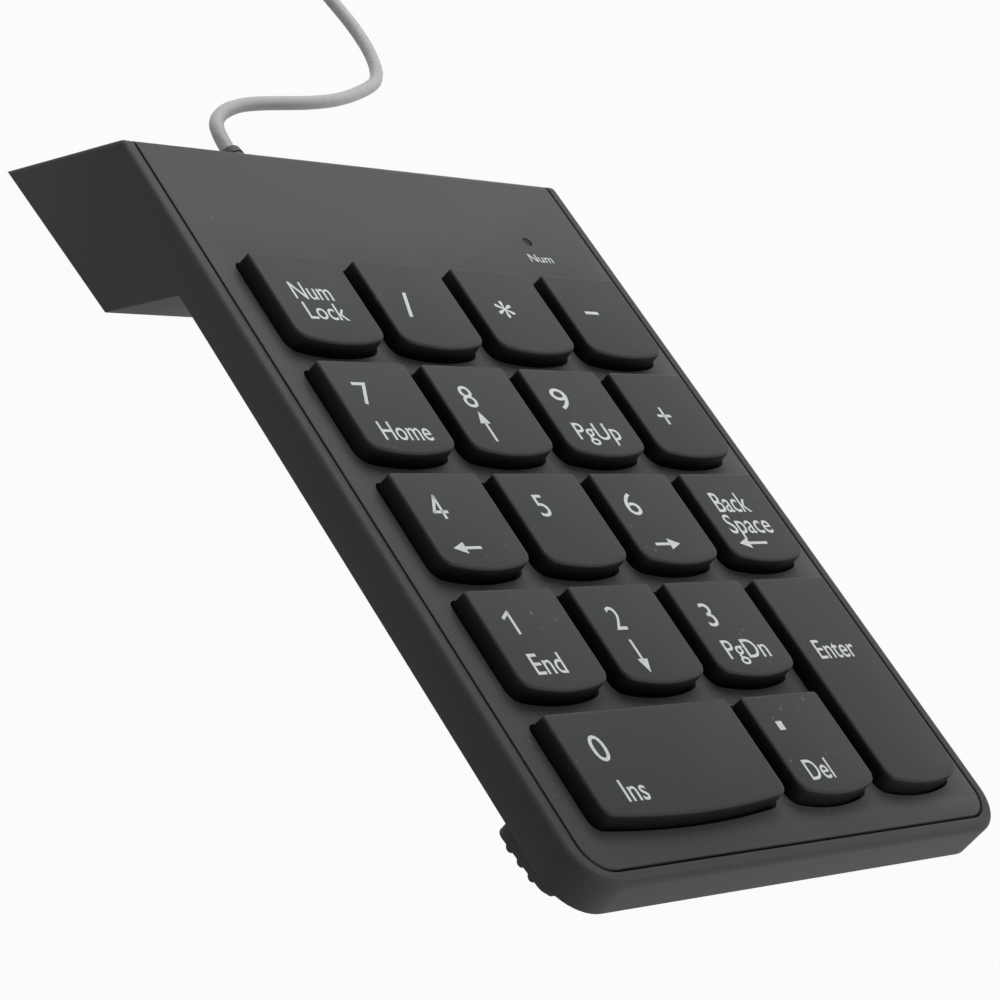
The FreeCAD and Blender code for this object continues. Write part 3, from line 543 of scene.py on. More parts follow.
def keyCap(kind):
    form = keyForms[kind]
    name = kind + "Cap"
    cap = keyBlock(name, kind, 0, -keySizes["skirt"], 0)
    flare = [1 + 2 * keySizes["draft"] / form[side] for side in ("width", "depth")]
    settings = {"value": (*flare, 1), "center_override": (0, 0, 0)}
    edit(cap, "vertices", lambda p: p.z < -0.5, (bpy.ops.transform.resize, settings))
    roundEdges(cap, lambda m, d: m.z > -0.01, keySizes["edge"], 4)
    hollow = {"TRANSFORM_OT_translate": {"value": (0, 0, (keySizes["skirt"] - keySizes["roof"]) * mm)}}
    edit(cap, "polygons", lambda c, n: n.z < -0.9,
         (bpy.ops.mesh.inset, {"thickness": keySizes["wall"] * mm}),
         (bpy.ops.mesh.extrude_region_move, hollow))
    half = keySizes["stem"] / 2
    inner = half - keySizes["stemWall"]
    stem = block("stem", (-half, -half, -keySizes["stemFoot"]), (half, half, -keySizes["roof"] + 0.1))
    bore = {"TRANSFORM_OT_translate": {"value": (0, 0, (keySizes["stemFoot"] - keySizes["roof"]) * mm)}}
    edit(stem, "polygons", lambda c, n: n.z < -0.9,
         (bpy.ops.mesh.inset, {"thickness": (half - inner) * mm}),
         (bpy.ops.mesh.extrude_region_move, bore))
    pad = turned("pad", (0, 0, -keySizes["roof"] + 0.1), (0, 0, -1),
                 [(0, keySizes["padRadius"] + 0.3), (0.6, keySizes["padRadius"]),
                  (keySizes["stemFoot"] - keySizes["roof"] - 0.1, keySizes["padRadius"]),
                  (keySizes["stemFoot"] - keySizes["roof"] + 0.1, keySizes["padRadius"] - 0.2)])
    parts = [cap, stem, pad]
    wallIn, lugOut = form["width"] / 2 - 0.9, form["width"] / 2 + keySizes["tabReach"]
    for y in (form["depth"] / 2 - keySizes["tabInset"],
              -form["depth"] / 2 + form["bow"] + keySizes["tabInset"]):
        for side in (-1, 1):
            x0, x1 = sorted((side * wallIn, side * lugOut))
            r0, r1 = sorted((side * wallIn, side * form["width"] / 2))
            y0, y1 = y - keySizes["tabLength"] / 2, y + keySizes["tabLength"] / 2
            parts.append(block("tab", (x0, y0, keySizes["tabBottom"]), (x1, y1, keySizes["tabTop"])))
            parts.append(block("riser", (r0, y0, keySizes["tabBottom"]),
                               (r1, y1, -keySizes["skirt"] + 0.1)))
    if kind != "single":
        parts += [stabiliserHook(side, kind) for side in (-1, 1)]
    return joinAll(name, parts)


hookSizes = {"start": 13.75, "width": 1.2, "back": 0.45, "front": 3.55, "floor": -4.2, "low": -3.85,
             "high": -2.95, "slotEnd": 2.75}


def stabiliserHook(side, kind):
    x0, x1 = sorted((side * hookSizes["start"], side * (hookSizes["start"] + hookSizes["width"])))
    hook = block("hook", (x0, hookSizes["back"], hookSizes["floor"]),
                 (x1, hookSizes["front"], -keySizes["roof"] + 0.1))
    slot = block("slot", (x0 - 1, hookSizes["back"] - 1, hookSizes["low"]),
                 (x1 + 1, hookSizes["slotEnd"], hookSizes["high"]))
    combine(hook, slot, "DIFFERENCE")
    if kind == "tall":
        hook.rotation_euler = (0, 0, math.pi / 2)
        applyPlace(hook)
    return hook


caps = {kind: keyCap(kind) for kind in keyForms}
for key in keyPlaces:
    x, y = keyMiddle(key)
    cap = copyOf(caps[keyKinds.get(key, "single")], "cap_" + key, (x, y, 0))
    finishPiece(cap, "key_" + key + "_cap", finishes["keyCharcoal"], ["key_" + key])
for cap in caps.values():
    bpy.data.objects.remove(cap)
print("keycaps done:", len(keyPlaces))

# Legends: words and signs are (text, left, right, bottom, top), arrows are (tail, tip).
legends = {
    "num_lock": {"words": [("Num", -4.3, 2.6, -0.75, 2.3), ("Lock", -3.95, 3.1, -4.3, -1.3)]},
    "divide": {"words": [("/", -3.9, -1.65, -2.85, 1.7)]},
    "multiply": {"words": [("*", -3.85, -0.55, -1.9, 1.4)]},
    "subtract": {"bars": [(-3.8, -0.9, -0.15, 0.4)]},
    "add": {"bars": [(-3.7, -0.8, -1.05, -0.55), (-2.5, -2.0, -2.4, 0.8)]},
    "7": {"words": [("7", -4.4, -1.8, -0.2, 3.65), ("Home", -4.45, 4.35, -6.2, -3.05)]},
    "8": {"words": [("8", -4.2, -1.75, -0.2, 3.65)], "arrows": [((-2.9, -6.15), (-2.9, -0.8))]},
    "9": {"words": [("9", -4.9, -1.75, -0.1, 3.8), ("PgUp", -4.8, 4.05, -6.55, -2.55)]},
    "4": {"strokes": [(-2.75, 3.4, -2.75, 0.0), (-2.75, 3.4, -4.2, 0.9), (-4.2, 0.9, -2.0, 0.9)],
          "arrows": [((0.05, -4.95), (-4.95, -4.95))]},
    "5": {"words": [("5", -3.7, -1.6, -0.1, 3.6)]},
    "6": {"words": [("6", -5.0, -2.2, -0.05, 3.85)], "arrows": [((-4.2, -5.1), (0.9, -5.1))]},
    "backspace": {"words": [("Back", -4.85, 2.45, 0.25, 3.8), ("Space", -5.3, 4.2, -4.65, -0.15)],
                  "arrows": [((0.85, -5.3), (-5.3, -5.3))]},
    "1": {"strokes": [(-2.9, 3.75, -2.9, 0.6), (-2.9, 3.75, -4.1, 2.95)],
          "words": [("End", -4.3, 1.3, -5.85, -2.65)]},
    "2": {"words": [("2", -3.9, -1.8, 0.15, 3.9)], "arrows": [((-2.9, -1.45), (-2.9, -6.75))]},
    "3": {"words": [("3", -4.3, -2.2, -0.2, 3.7), ("PgDn", -4.7, 4.0, -6.6, -2.5)]},
    "enter": {"words": [("Enter", -4.95, 3.5, 2.85, 6.05)]},
    "0": {"words": [("0", -12.95, -10.25, -0.05, 3.85), ("Ins", -12.2, -8.05, -6.0, -2.8)]},
    "decimal": {"bars": [(-4.6, -3.35, 1.8, 3.2)], "words": [("Del", -4.8, 0.15, -6.2, -3.0)]},
}
legendStyle = {"stroke": 0.46, "headWidth": 1.9, "headLength": 2.2, "raised": 0.01, "depth": 0.05,
               "weight": 0.006, "digitWeight": 0.0, "lift": 0.5}


def flatMark(name, low, high):
    return block(name, (*low, -legendStyle["depth"]), (*high, legendStyle["raised"]))


def stroke(x0, y0, x1, y1):
    run = Vector((x1 - x0, y1 - y0))
    half = legendStyle["stroke"] / 2
    mark = flatMark("stroke", (-half, -half), (run.length + half, half))
    mark.rotation_euler = (0, 0, math.atan2(run.y, run.x))
    mark.location = (x0 * mm, y0 * mm, 0)
    applyPlace(mark)
    return mark


def word(text, left, right, bottom, top):
    dropSelection()
    bpy.ops.object.text_add(location=(0, 0, 0))
    mark = bpy.context.object
    mark.data.body = text
    mark.data.resolution_u = 4
    mark.data.offset = legendStyle["digitWeight" if text.isdigit() else "weight"]
    mark.data.extrude = 0.02
    takeUp(mark)
    bpy.ops.object.convert(target="MESH")
    xs, ys, zs = ([v.co[axis] for v in mark.data.vertices] for axis in range(3))
    width, height, depth = (max(a) - min(a) for a in (xs, ys, zs))
    thickness = legendStyle["raised"] + legendStyle["depth"]
    mark.scale = ((right - left) * mm / width, (top - bottom) * mm / height, thickness * mm / depth)
    applyPlace(mark)
    low = [min(v.co[axis] for v in mark.data.vertices) for axis in range(3)]
    mark.location = (left * mm - low[0], bottom * mm - low[1], -legendStyle["depth"] * mm - low[2])
    applyPlace(mark)
    return mark


def arrow(tail, tip):
    run = Vector(tip) - Vector(tail)
    length, head = run.length, legendStyle["headLength"]
    half = legendStyle["stroke"] / 2
    shaft = flatMark("shaft", (0, -half), (length - head + 0.2, half))
    dropSelection()
    bpy.ops.mesh.primitive_cylinder_add(vertices=3, radius=1)
    point = bpy.context.object
    applyPlace(point)
    point.rotation_euler = (0, 0, -math.pi / 2)
    applyPlace(point)
    width = max(v.co.y for v in point.data.vertices) - min(v.co.y for v in point.data.vertices)
    long = max(v.co.x for v in point.data.vertices) - min(v.co.x for v in point.data.vertices)
    thickness = legendStyle["raised"] + legendStyle["depth"]
    point.scale = (head * mm / long, legendStyle["headWidth"] * mm / width, thickness / 2 * mm)
    applyPlace(point)
    tipNow = max(v.co.x for v in point.data.vertices)
    point.location = (length * mm - tipNow, 0, (legendStyle["raised"] - legendStyle["depth"]) / 2 * mm)
    applyPlace(point)
    mark = joinAll("arrow", [shaft, point])
    mark.rotation_euler = (0, 0, math.atan2(run.y, run.x))
    mark.location = (tail[0] * mm, tail[1] * mm, 0)
    applyPlace(mark)
    return mark


for key, marks in legends.items():
    parts = [word(*entry) for entry in marks.get("words", [])]
    parts += [flatMark("bar", (x0, y0), (x1, y1)) for x0, x1, y0, y1 in marks.get("bars", [])]
    parts += [arrow(tail, tip) for tail, tip in marks.get("arrows", [])]
    parts += [stroke(*line) for line in marks.get("strokes", [])]
    legend = joinAll("legend_" + key, parts)
    x, y = keyMiddle(key)
    legend.location = (x * mm, (y + legendStyle["lift"]) * mm, 0)
    applyPlace(legend)
    finishPiece(legend, "key_" + key + "_cap", finishes["legendWhite"], angle=20)
print("legends done:", len(legends))

# The cover: a plate with a hole round each key, a skirt, and a lip over the rear wall.
coverSizes = {"half": 40.8, "front": -50.6, "stop": 67.74, "lip": -5.0, "lipRear": 70.3,
              "skirtBottom": -6.1, "skin": 1.0, "skirt": 1.2, "corner": 4.0, "bossRadius": 2.5,
              "bossFoot": -11.0, "pilot": 1.1, "softEdge": 0.15}
lampWindow = {"x": 27.0, "y": 55.5, "radius": 0.8, "flange": 1.5, "top": -2.62, "foot": -6.0}
caseScrews = {"x": 35.0, "y": 60.5, "seat": -13.0, "length": 8.0, "radius": 1.1, "head": 2.3,
              "headHeight": 1.7}


def coverPlate():
    low, top, half = coverSizes["skirtBottom"], shell["top"], coverSizes["half"]
    plate = block("coverPlate", (-half, coverSizes["front"], low), (half, coverSizes["stop"], top))
    slice(plate, (0, 0, coverSizes["lip"]), (0, 0, 1))
    pull(plate, lambda c, n: n.y > 0.9 and c.z > coverSizes["lip"], (0, 1, 0))
    rear = coverSizes["stop"] + 1
    push(plate, "vertices", lambda p: p.y > rear - 0.1 and p.z < top - 0.1,
         (0, coverSizes["lipRear"] - rear, 0))
    push(plate, "vertices", lambda p: p.y > rear - 0.1 and p.z > top - 0.1,
         (0, shell["rearTop"] - rear, 0))
    settings = {"angle_limit": math.radians(0.5)}
    edit(plate, "polygons", lambda c, n: True, (bpy.ops.mesh.dissolve_limited, settings))
    roundEdges(plate, lambda m, d: isLengthwise(d, 2) and m.y < coverSizes["front"] + 0.1,
               coverSizes["corner"], 10)
    roundEdges(plate, lambda m, d: isLengthwise(d, 0) and m.z > top - 0.1 and m.y > 0,
               shell["rimRound"], 5, clamp=False)
    softenEdges(plate, coverSizes["softEdge"], 2, 40)
    hollowHalf = half - coverSizes["skirt"]
    hollow = block("hollow", (-hollowHalf, coverSizes["front"] + coverSizes["skirt"], low - 1),
                   (hollowHalf, 66.8, top - coverSizes["skin"]))
    roundEdges(hollow, lambda m, d: isLengthwise(d, 2) and m.y < 0, 2.8, 6)
    combine(plate, hollow, "DIFFERENCE")
    holes = []
    for key in keyPlaces:
        x, y = keyMiddle(key)
        kind = keyKinds.get(key, "single")
        holes.append(copyOf(holeForms[kind], "hole", (x, y, 0)))
    window = (lampWindow["x"], lampWindow["y"], -3)
    holes.append(rod("windowHole", window, lampWindow["radius"] + 0.05, 3))
    combine(plate, joinAll("holes", holes), "DIFFERENCE")
    for side in (-1, 1):
        x, y = side * caseScrews["x"], caseScrews["y"]
        boss = turned("boss", (x, y, top - 0.5), (0, 0, -1),
                      [(0, coverSizes["bossRadius"] + 0.2), (8.3, coverSizes["bossRadius"]),
                       (8.5, coverSizes["bossRadius"] - 0.3)])
        combine(plate, boss, "UNION")
        pilot = rod("pilot", (x, y, coverSizes["bossFoot"] + 2.5), coverSizes["pilot"], 7)
        combine(plate, pilot, "DIFFERENCE")
    return plate


holeForms = {kind: keyBlock(kind + "Hole", kind, keySizes["gap"], -8, 1) for kind in keyForms}
finishPiece(coverPlate(), "case", finishes["coverCharcoal"], ["top_cover"])
for form in holeForms.values():
    bpy.data.objects.remove(form)
print("cover done")

window = turned("lampWindow", (lampWindow["x"], lampWindow["y"], lampWindow["foot"]), (0, 0, 1),
                [(0, lampWindow["radius"]), (1.7, lampWindow["radius"]), (1.7, lampWindow["flange"]),
                 (2.5, lampWindow["flange"]), (2.5, lampWindow["radius"]),
                 (lampWindow["top"] - lampWindow["foot"] - 0.1, lampWindow["radius"]),
                 (lampWindow["top"] - lampWindow["foot"], lampWindow["radius"] - 0.12)])
finishPiece(window, "case", finishes["windowSmoke"], ["light_guide"])
lampLabel = word("Num", 24.9, 29.9, 51.3, 52.9)
lampLabel.name = "lampLabel"
lampLabel.location = (0, 0, shell["top"] * mm)
applyPlace(lampLabel)
finishPiece(lampLabel, "case", finishes["legendWhite"], angle=20)

# Feet. The table falls away to the rear as the tilted slab sees it.
footSizes = {"front": -48.6, "rear": -38.0, "inner": 32.2, "outer": 41.7, "corner": 1.6,
             "recess": 0.5, "ribRadius": 0.75, "ribs": 5, "ribProud": 0.55,
             "rearX": 31.0, "rearY": 72.0, "rearLength": 14.0, "rearWidth": 8.0}


def tableAt(y):
    return -11.4 - (y + 38.0) * math.tan(math.radians(standing["tilt"]))


def humpBaseAt(y):
    slope = (shell["foot"][1] - shell["heel"][1]) / (shell["heel"][0] - shell["foot"][0])
    return shell["foot"][1] - (y - shell["foot"][0]) * slope


def footPad(name, x0, x1, y0, y1, topAt, bottomAt):
    pad = block(name, (x0, y0, -30), (x1, y1, 0))
    for y in (y0, y1):
        push(pad, "vertices", lambda p: abs(p.y - y) < 0.1 and p.z < -15, (0, 0, bottomAt(y) + 30))
        push(pad, "vertices", lambda p: abs(p.y - y) < 0.1 and p.z > -1, (0, 0, topAt(y)))
    roundEdges(pad, lambda m, d: isLengthwise(d, 2), footSizes["corner"], 6)
    return pad


def ribbedFoot(name, side):
    x0, x1 = sorted((side * footSizes["inner"], side * footSizes["outer"]))
    y0, y1 = footSizes["front"], footSizes["rear"]
    pad = footPad(name, x0, x1, y0, y1, lambda y: shell["bottom"] + footSizes["recess"],
                  lambda y: tableAt(y) + footSizes["ribProud"])
    radius = footSizes["ribRadius"]
    pitch = (y1 - y0 - 2 * radius) / (footSizes["ribs"] - 1)
    for number in range(footSizes["ribs"]):
        y = y0 + radius + number * pitch
        short = 1.2 if number in (0, footSizes["ribs"] - 1) else 0.0
        rib = rod("rib", ((x0 + x1) / 2, y, tableAt(y) + radius * 1.005), radius,
                  x1 - x0 - 2 * short, "x", 24)
        softenEdges(rib, 0.25, 3, 60)
        combine(pad, rib, "UNION")
    softenEdges(pad, 0.15, 2, 40)
    return pad


for side, name in ((-1, "left"), (1, "right")):
    foot = ribbedFoot("frontFoot_" + name, side)
    finishPiece(foot, "case", finishes["footRubber"], ["front_foot_" + name])
    x, y = side * footSizes["rearX"], footSizes["rearY"]
    half, reach = footSizes["rearLength"] / 2, footSizes["rearWidth"] / 2
    foot = footPad("rearFoot_" + name, x - half, x + half, y - reach, y + reach,
                   lambda y: humpBaseAt(y) + footSizes["recess"], tableAt)
    softenEdges(foot, 0.15, 2, 40)
    finishPiece(foot, "case", finishes["footRubber"], ["rear_foot_" + name])
print("feet done")


def crossHeadScrew(place, along, seat, length, radius, head, headHeight):
    x, y = place
    screw = turned("screw", (x, y, seat), (0, 0, along),
                   [(-headHeight, head * 0.75), (-headHeight * 0.7, head * 0.95),
                    (-headHeight * 0.2, head), (0, head * 0.97), (0, radius),
                    (length * 0.85, radius), (length, radius * 0.55)], 28)
    z = seat - along * headHeight
    for wide, deep in ((head * 0.55, head * 0.11), (head * 0.11, head * 0.55)):
        slot = block("slot", (x - wide, y - deep, z - headHeight * 0.5),
                     (x + wide, y + deep, z + headHeight * 0.5))
        combine(screw, slot, "DIFFERENCE")
    return screw


screws = [crossHeadScrew((side * caseScrews["x"], caseScrews["y"]), 1, caseScrews["seat"],
                         caseScrews["length"], caseScrews["radius"], caseScrews["head"],
                         caseScrews["headHeight"]) for side in (-1, 1)]
finishPiece(joinAll("caseScrews", screws), "case", finishes["screwZinc"],
            ["case_screws"])
boardScrews = {"near": ((-11.5, 53.2), (11.5, 53.2)), "far": ((-21.0, 65.0), (21.0, 65.0)),
               "nearSeat": -5.2, "farSeat": -6.8, "tip": -12.3}
screws = [crossHeadScrew(place, -1, boardScrews["nearSeat"],
                         boardScrews["nearSeat"] - boardScrews["tip"], 1.0, 2.0, 1.2)
          for place in boardScrews["near"]]
screws += [crossHeadScrew(place, -1, boardScrews["farSeat"],
                          boardScrews["farSeat"] - boardScrews["tip"], 1.0, 2.0, 1.2)
           for place in boardScrews["far"]]
finishPiece(joinAll("boardScrews", screws), "case", finishes["screwZinc"],
            ["board_screws"])
print("screws done")

# The strain relief, a short ribbed taper on the rear wall.
relief = {"x": -5.0, "z": -16.0, "back": 70.68, "profile": [
    (0, 2.9), (0.15, 3.0), (1.2, 3.0), (1.2, 2.2), (8.9, 2.2), (9.4, 2.15), (9.5, 1.85), (9.9, 1.85),
    (10.0, 2.05), (10.6, 2.0), (10.7, 1.72), (11.1, 1.72), (11.2, 1.9), (11.8, 1.85), (11.9, 1.6),
    (12.3, 1.6), (12.4, 1.76), (13.0, 1.7), (13.55, 1.6), (13.76, 1.45)]}
boot = turned("strainRelief", (relief["x"], relief["back"], relief["z"]), (0, 1, 0), relief["profile"])
finishPiece(boot, "case", finishes["plugCharcoal"], ["cable_strain_relief"])

# The cable lies in one line from the strain relief through its coil to the plug, in mm as it stands.
cable = {"radius": 1.1, "length": 1.36, "exit": (-5.0, 69.7537, 7.1568)}
cableRoute = [
    (-5.0, 69.76, 7.16), (-4.8, 73.2, 7.48), (-3.2, 76.5, 7.3), (-0.3, 79.4, 6.8), (3.8, 82.4, 6.1),
    (9.2, 85.6, 5.1), (15.8, 88.6, 3.9), (23.6, 91.4, 2.7), (32.0, 94.0, 1.7), (41.0, 96.8, 1.2),
    (49.5, 100.6, 1.1), (56.2, 104.6, 1.1), (60.3, 112.6, 1.1), (62.0, 121.6, 1.1),
    (62.0, 130.6, 1.1), (61.9, 140.2, 1.5)]
cableTail = [(38.0, 166.3, 7.6), (30.6, 166.0, 6.0), (24.0, 165.8, 4.4), (19.0, 165.8, 4.0)]
coil = {"centre": (46.0, 150.0), "outer": 15.95, "pitch": 2.2, "low": 1.6, "rows": 4,
        "turns": 15.25, "pointsPerTurn": 16, "stepShare": 0.3}


# Turn by turn: across a layer, up to the next one, and back across it.
def coilSeat(turn):
    layer, seat = divmod(turn, coil["rows"])
    step = seat if layer % 2 == 0 else coil["rows"] - 1 - seat
    return coil["outer"] - step * coil["pitch"], coil["low"] + layer * coil["pitch"]


def coilPoints():
    points = []
    spread = 2 / (1 + math.cos(2 * math.pi / coil["pointsPerTurn"]))
    for number in range(int(coil["turns"] * coil["pointsPerTurn"]) + 1):
        done = number / coil["pointsPerTurn"]
        turn, share = int(done), done - int(done)
        radius, z = coilSeat(turn)
        ahead, above = coilSeat(min(turn + 1, int(coil["turns"])))
        ease = max(0.0, (share - 1 + coil["stepShare"]) / coil["stepShare"])
        ease = ease * ease * (3 - 2 * ease)
        radius += (ahead - radius) * ease
        z += (above - z) * ease
        angle = 2 * math.pi * done
        points.append((coil["centre"][0] + radius * spread * math.cos(angle),
                       coil["centre"][1] + radius * spread * math.sin(angle), z))
    return points


dropSelection()
bpy.ops.curve.primitive_nurbs_path_add()
cord = bpy.context.object
cord.name = "cable"
cord.data.splines.clear()
line = cord.data.splines.new("NURBS")
cablePoints = cableRoute + coilPoints() + cableTail
line.points.add(len(cablePoints) - 1)
for point, place in zip(line.points, cablePoints):
    point.co = (*[p * mm for p in place], 1)
line.order_u = 3
line.use_endpoint_u = True
line.resolution_u = 5
cord.data.dimensions = "3D"
cord.data.bevel_depth = cable["radius"] * mm
cord.data.bevel_resolution = 4
cord.data.use_fill_caps = True
cord.location = (0, 0, 0)
cord.data.materials.append(finishes["jacketGrey"])
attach(cord, "case")
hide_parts("cord", "cord_coil", "cord_tail")

# A strap of hook-and-loop tape holds the coil's turns.
tie = {"length": 5.0, "thick": 0.5, "angle": 200.0, "radius": 12.65, "half": 4.4, "middle": 4.9}


def cableTie():
    half, thick, reach = tie["half"], tie["thick"], tie["length"] / 2
    strap = block("cableTie", (tie["radius"] - half - thick, -reach, tie["middle"] - half - thick),
                  (tie["radius"] + half + thick, reach, tie["middle"] + half + thick))
    roundEdges(strap, lambda m, d: isLengthwise(d, 1), 1.6, 5)
    inside = block("inside", (tie["radius"] - half, -reach - 1, tie["middle"] - half),
                   (tie["radius"] + half, reach + 1, tie["middle"] + half))
    roundEdges(inside, lambda m, d: isLengthwise(d, 1), 1.1, 5)
    combine(strap, inside, "DIFFERENCE")
    softenEdges(strap, 0.12, 2, 50)
    strap.rotation_euler = (0, 0, math.radians(tie["angle"]))
    strap.location = (coil["centre"][0] * mm, coil["centre"][1] * mm, 0)
    applyPlace(strap)
    return strap


strap = finishPiece(cableTie(), "case", finishes["tieBlack"], ["cord_tie"],
                    onSlab=False)

# The plug lies with its shell towards -X.
plug = {"y": 165.8, "z": 4.0, "reliefStart": 19.0, "gripStart": 12.0, "gripEnd": -8.0,
        "shellEnd": -20.0, "gripWidth": 15.5, "gripHeight": 8.0, "gripRound": 1.6,
        "shellWidth": 12.0, "shellHeight": 4.5, "shellWall": 0.3, "gripSlots": 5}


def plugGrip():
    halfY, halfZ = plug["gripWidth"] / 2, plug["gripHeight"] / 2
    grip = block("plugGrip", (plug["gripEnd"], plug["y"] - halfY, plug["z"] - halfZ),
                 (plug["gripStart"], plug["y"] + halfY, plug["z"] + halfZ))
    slice(grip, (plug["gripStart"] - 4.5, 0, 0), (1, 0, 0))
    settings = {"value": (1, 0.62, 0.8),
                "center_override": (plug["gripStart"] * mm, plug["y"] * mm, plug["z"] * mm)}
    edit(grip, "vertices", lambda p: p.x > plug["gripStart"] - 0.1,
         (bpy.ops.transform.resize, settings))
    roundEdges(grip, lambda m, d: abs(d.x) > 0.5 * d.length, plug["gripRound"], 5)
    for number in range(plug["gripSlots"]):
        x = plug["gripEnd"] + 3.4 + number * 1.9
        for side in (-1, 1):
            y = plug["y"] + side * halfY
            slot = block("slot", (x, y - 0.45, plug["z"] - 2.4), (x + 0.9, y + 0.45, plug["z"] + 2.4))
            combine(grip, slot, "DIFFERENCE")
    softenEdges(grip, 0.3, 3, 40)
    return grip


def plugShell():
    halfY, halfZ = plug["shellWidth"] / 2, plug["shellHeight"] / 2
    tube = block("plugShell", (plug["shellEnd"], plug["y"] - halfY, plug["z"] - halfZ),
                 (plug["gripEnd"] + 0.2, plug["y"] + halfY, plug["z"] + halfZ))
    roundEdges(tube, lambda m, d: isLengthwise(d, 0), 0.6, 4)
    bore = {"TRANSFORM_OT_translate": {"value": (11.9 * mm, 0, 0)}}
    edit(tube, "polygons", lambda c, n: n.x < -0.9,
         (bpy.ops.mesh.inset, {"thickness": plug["shellWall"] * mm}),
         (bpy.ops.mesh.extrude_region_move, bore))
    for side in (-1, 1):
        y = plug["y"] + side * 2.9
        opening = block("opening", (-16.6, y - 1.25, plug["z"] - 4), (-14.3, y + 1.25, plug["z"] + 4))
        combine(tube, opening, "DIFFERENCE")
    return tube


plugGripPiece = finishPiece(plugGrip(), "case", finishes["plugCharcoal"],
                            ["plug_grip"], onSlab=False)
plugShellPiece = finishPiece(plugShell(), "case", finishes["shellSteel"],
                             ["plug_shell"], onSlab=False)
plugRelief = turned("plugRelief", (plug["reliefStart"], plug["y"], plug["z"]), (-1, 0, 0),
                    [(0, 1.3), (0.3, 1.45), (1.0, 1.55), (1.1, 1.3), (1.6, 1.32), (1.7, 1.72),
                     (2.5, 1.85), (2.6, 1.5), (3.1, 1.52), (3.2, 2.02), (4.0, 2.15), (4.1, 1.8),
                     (4.6, 1.82), (4.7, 2.3), (5.6, 2.45), (7.2, 2.6)])
finishPiece(plugRelief, "case", finishes["plugCharcoal"], ["plug_strain_relief"],
            onSlab=False)
print("cable and plug done")

# The pieces inside keep the frame's shapes and take their own finishes.
insideFinishes = {
    "key_guide_frame": "guideBlack", "dome_sheet": "siliconeWhite", "membrane_top_film": "filmClear",
    "membrane_spacer": "filmClear", "membrane_bottom_film": "filmClear",
    "backing_plate": "zincSheet", "controller_board": "boardGreen", "controller_chip": "resinBlack",
    "status_led": "lensClear", "membrane_clamp_bar": "guideBlack", "internal_lead": "jacketGrey",
    "zero_stabilizer_wire": "screwZinc", "enter_stabilizer_wire": "screwZinc",
    "plug_insulator": "tongueWhite", "plug_contacts": "contactGold",
}
replaced = {"bottom_case", "top_cover", "light_guide", "case_screws", "board_screws",
            "cable_strain_relief", "cord", "cord_coil", "cord_tail", "cord_tie", "plug_grip",
            "plug_shell", "plug_strain_relief"}
for name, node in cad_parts.items():
    node.data.materials.clear()
    finish = insideFinishes.get(name)
    if finish is None:
        finish = "keyCharcoal" if name.startswith("key_") else "caseCharcoal"
    node.data.materials.append(finishes[finish])

# A table and soft light from above, with the camera where the photograph was taken from.
studio = {"floorTone": 0.3, "floorGlow": 0.96, "sky": 0.13, "key": 2.15, "fill": 7.0, "rim": 1.0,
          "rear": 0.3}
view = {"place": (-295.26, -194.081, 186.714), "turn": (57.7614, -30.2744, -39.0213),
        "lens": 106.108}


# The background shows as white to the camera and in gloss, and lights the object less than that.
def seenDirectly(nodes, links):
    rays = nodes.new("ShaderNodeLightPath")
    seen = rays.outputs["Is Camera Ray"]
    for kind in ("Is Glossy Ray", "Is Transmission Ray"):
        either = nodes.new("ShaderNodeMath")
        either.operation = "MAXIMUM"
        links.new(seen, either.inputs[0])
        links.new(rays.outputs[kind], either.inputs[1])
        seen = either.outputs["Value"]
    return seen


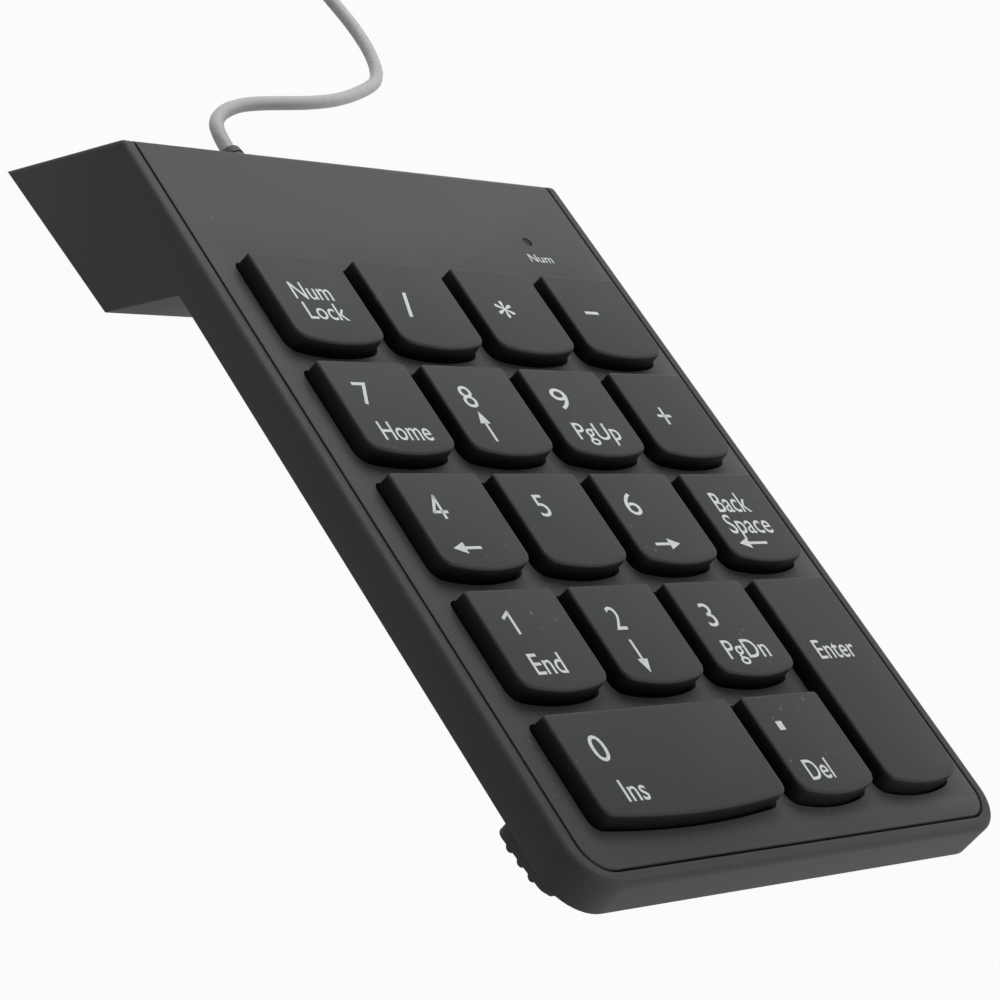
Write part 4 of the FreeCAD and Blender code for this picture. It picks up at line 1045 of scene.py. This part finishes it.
def paperFloor():
    material, nodes, links, shader = startMaterial("paperFloor")
    coordinates = nodes.new("ShaderNodeTexCoord")
    fibres = noise(nodes, links, coordinates, 60, 3.0)
    tone = toneRamp(nodes, 0.3, 0.7, [studio["floorTone"] * 0.98] * 3, [studio["floorTone"]] * 3)
    links.new(fibres.outputs["Fac"], tone.inputs["Fac"])
    links.new(tone.outputs["Color"], shader.inputs["Base Color"])
    shader.inputs["Roughness"].default_value = 0.9
    shader.inputs["Specular IOR Level"].default_value = 0.1
    glow = nodes.new("ShaderNodeEmission")
    glow.inputs["Color"].default_value = (1, 1, 1, 1)
    glow.inputs["Strength"].default_value = 1.0
    share = nodes.new("ShaderNodeMath")
    share.operation = "MULTIPLY"
    share.inputs[1].default_value = studio["floorGlow"]
    links.new(seenDirectly(nodes, links), share.inputs[0])
    blend = nodes.new("ShaderNodeMixShader")
    links.new(share.outputs["Value"], blend.inputs["Fac"])
    links.new(shader.outputs["BSDF"], blend.inputs[1])
    links.new(glow.outputs["Emission"], blend.inputs[2])
    links.new(blend.outputs["Shader"], nodes["Material Output"].inputs["Surface"])
    return material


dropSelection()
bpy.ops.mesh.primitive_plane_add(size=30, location=(0, 0, -0.0002))
floor = bpy.context.object
floor.name = "table"
floor.data.materials.append(paperFloor())

world = bpy.data.worlds.new("studio")
bpy.context.scene.world = world
world.use_nodes = True
skyNodes, skyLinks = world.node_tree.nodes, world.node_tree.links
sky = skyNodes["Background"]
level = skyNodes.new("ShaderNodeMapRange")
level.inputs["To Min"].default_value = studio["sky"]
level.inputs["To Max"].default_value = 1.0
skyLinks.new(seenDirectly(skyNodes, skyLinks), level.inputs["Value"])
skyLinks.new(level.outputs["Result"], sky.inputs["Strength"])
sky.inputs["Color"].default_value = (1, 1, 1, 1)


def softLight(name, place, aim, size, power, tint=(1, 1, 1)):
    dropSelection()
    bpy.ops.object.light_add(type="AREA", location=place)
    lamp = bpy.context.object
    lamp.name = name
    lamp.data.shape = "RECTANGLE"
    lamp.data.size, lamp.data.size_y = size
    lamp.data.energy = power
    lamp.data.color = tint
    lamp.rotation_euler = (Vector(aim) - Vector(place)).to_track_quat("-Z", "Y").to_euler()
    return lamp


softLight("overheadBox", (0.16, 0.34, 0.52), (0, 0.0, 0), (0.5, 0.35), studio["key"])
softLight("frontFill", (0.35, -1.3, 0.4), (0, 0, 0), (0.9, 0.5), studio["fill"], (1, 0.96, 0.9))
softLight("sideFill", (-1.3, 0.3, 0.6), (0, 0, 0), (0.8, 0.6), studio["rim"])
softLight("rearStrip", (0.1, 0.9, 0.35), (0, 0.07, 0.01), (0.9, 0.2), studio["rear"])

bpy.ops.object.camera_add(location=[p * mm for p in view["place"]],
                          rotation=[math.radians(t) for t in view["turn"]])
camera = bpy.context.object
camera.name = "keypadCamera"
camera.data.lens = view["lens"]
camera.data.sensor_width = 36
camera.data.clip_start = 0.01
bpy.context.scene.camera = camera
bpy.context.scene.view_settings.view_transform = "Standard"
print("studio done")
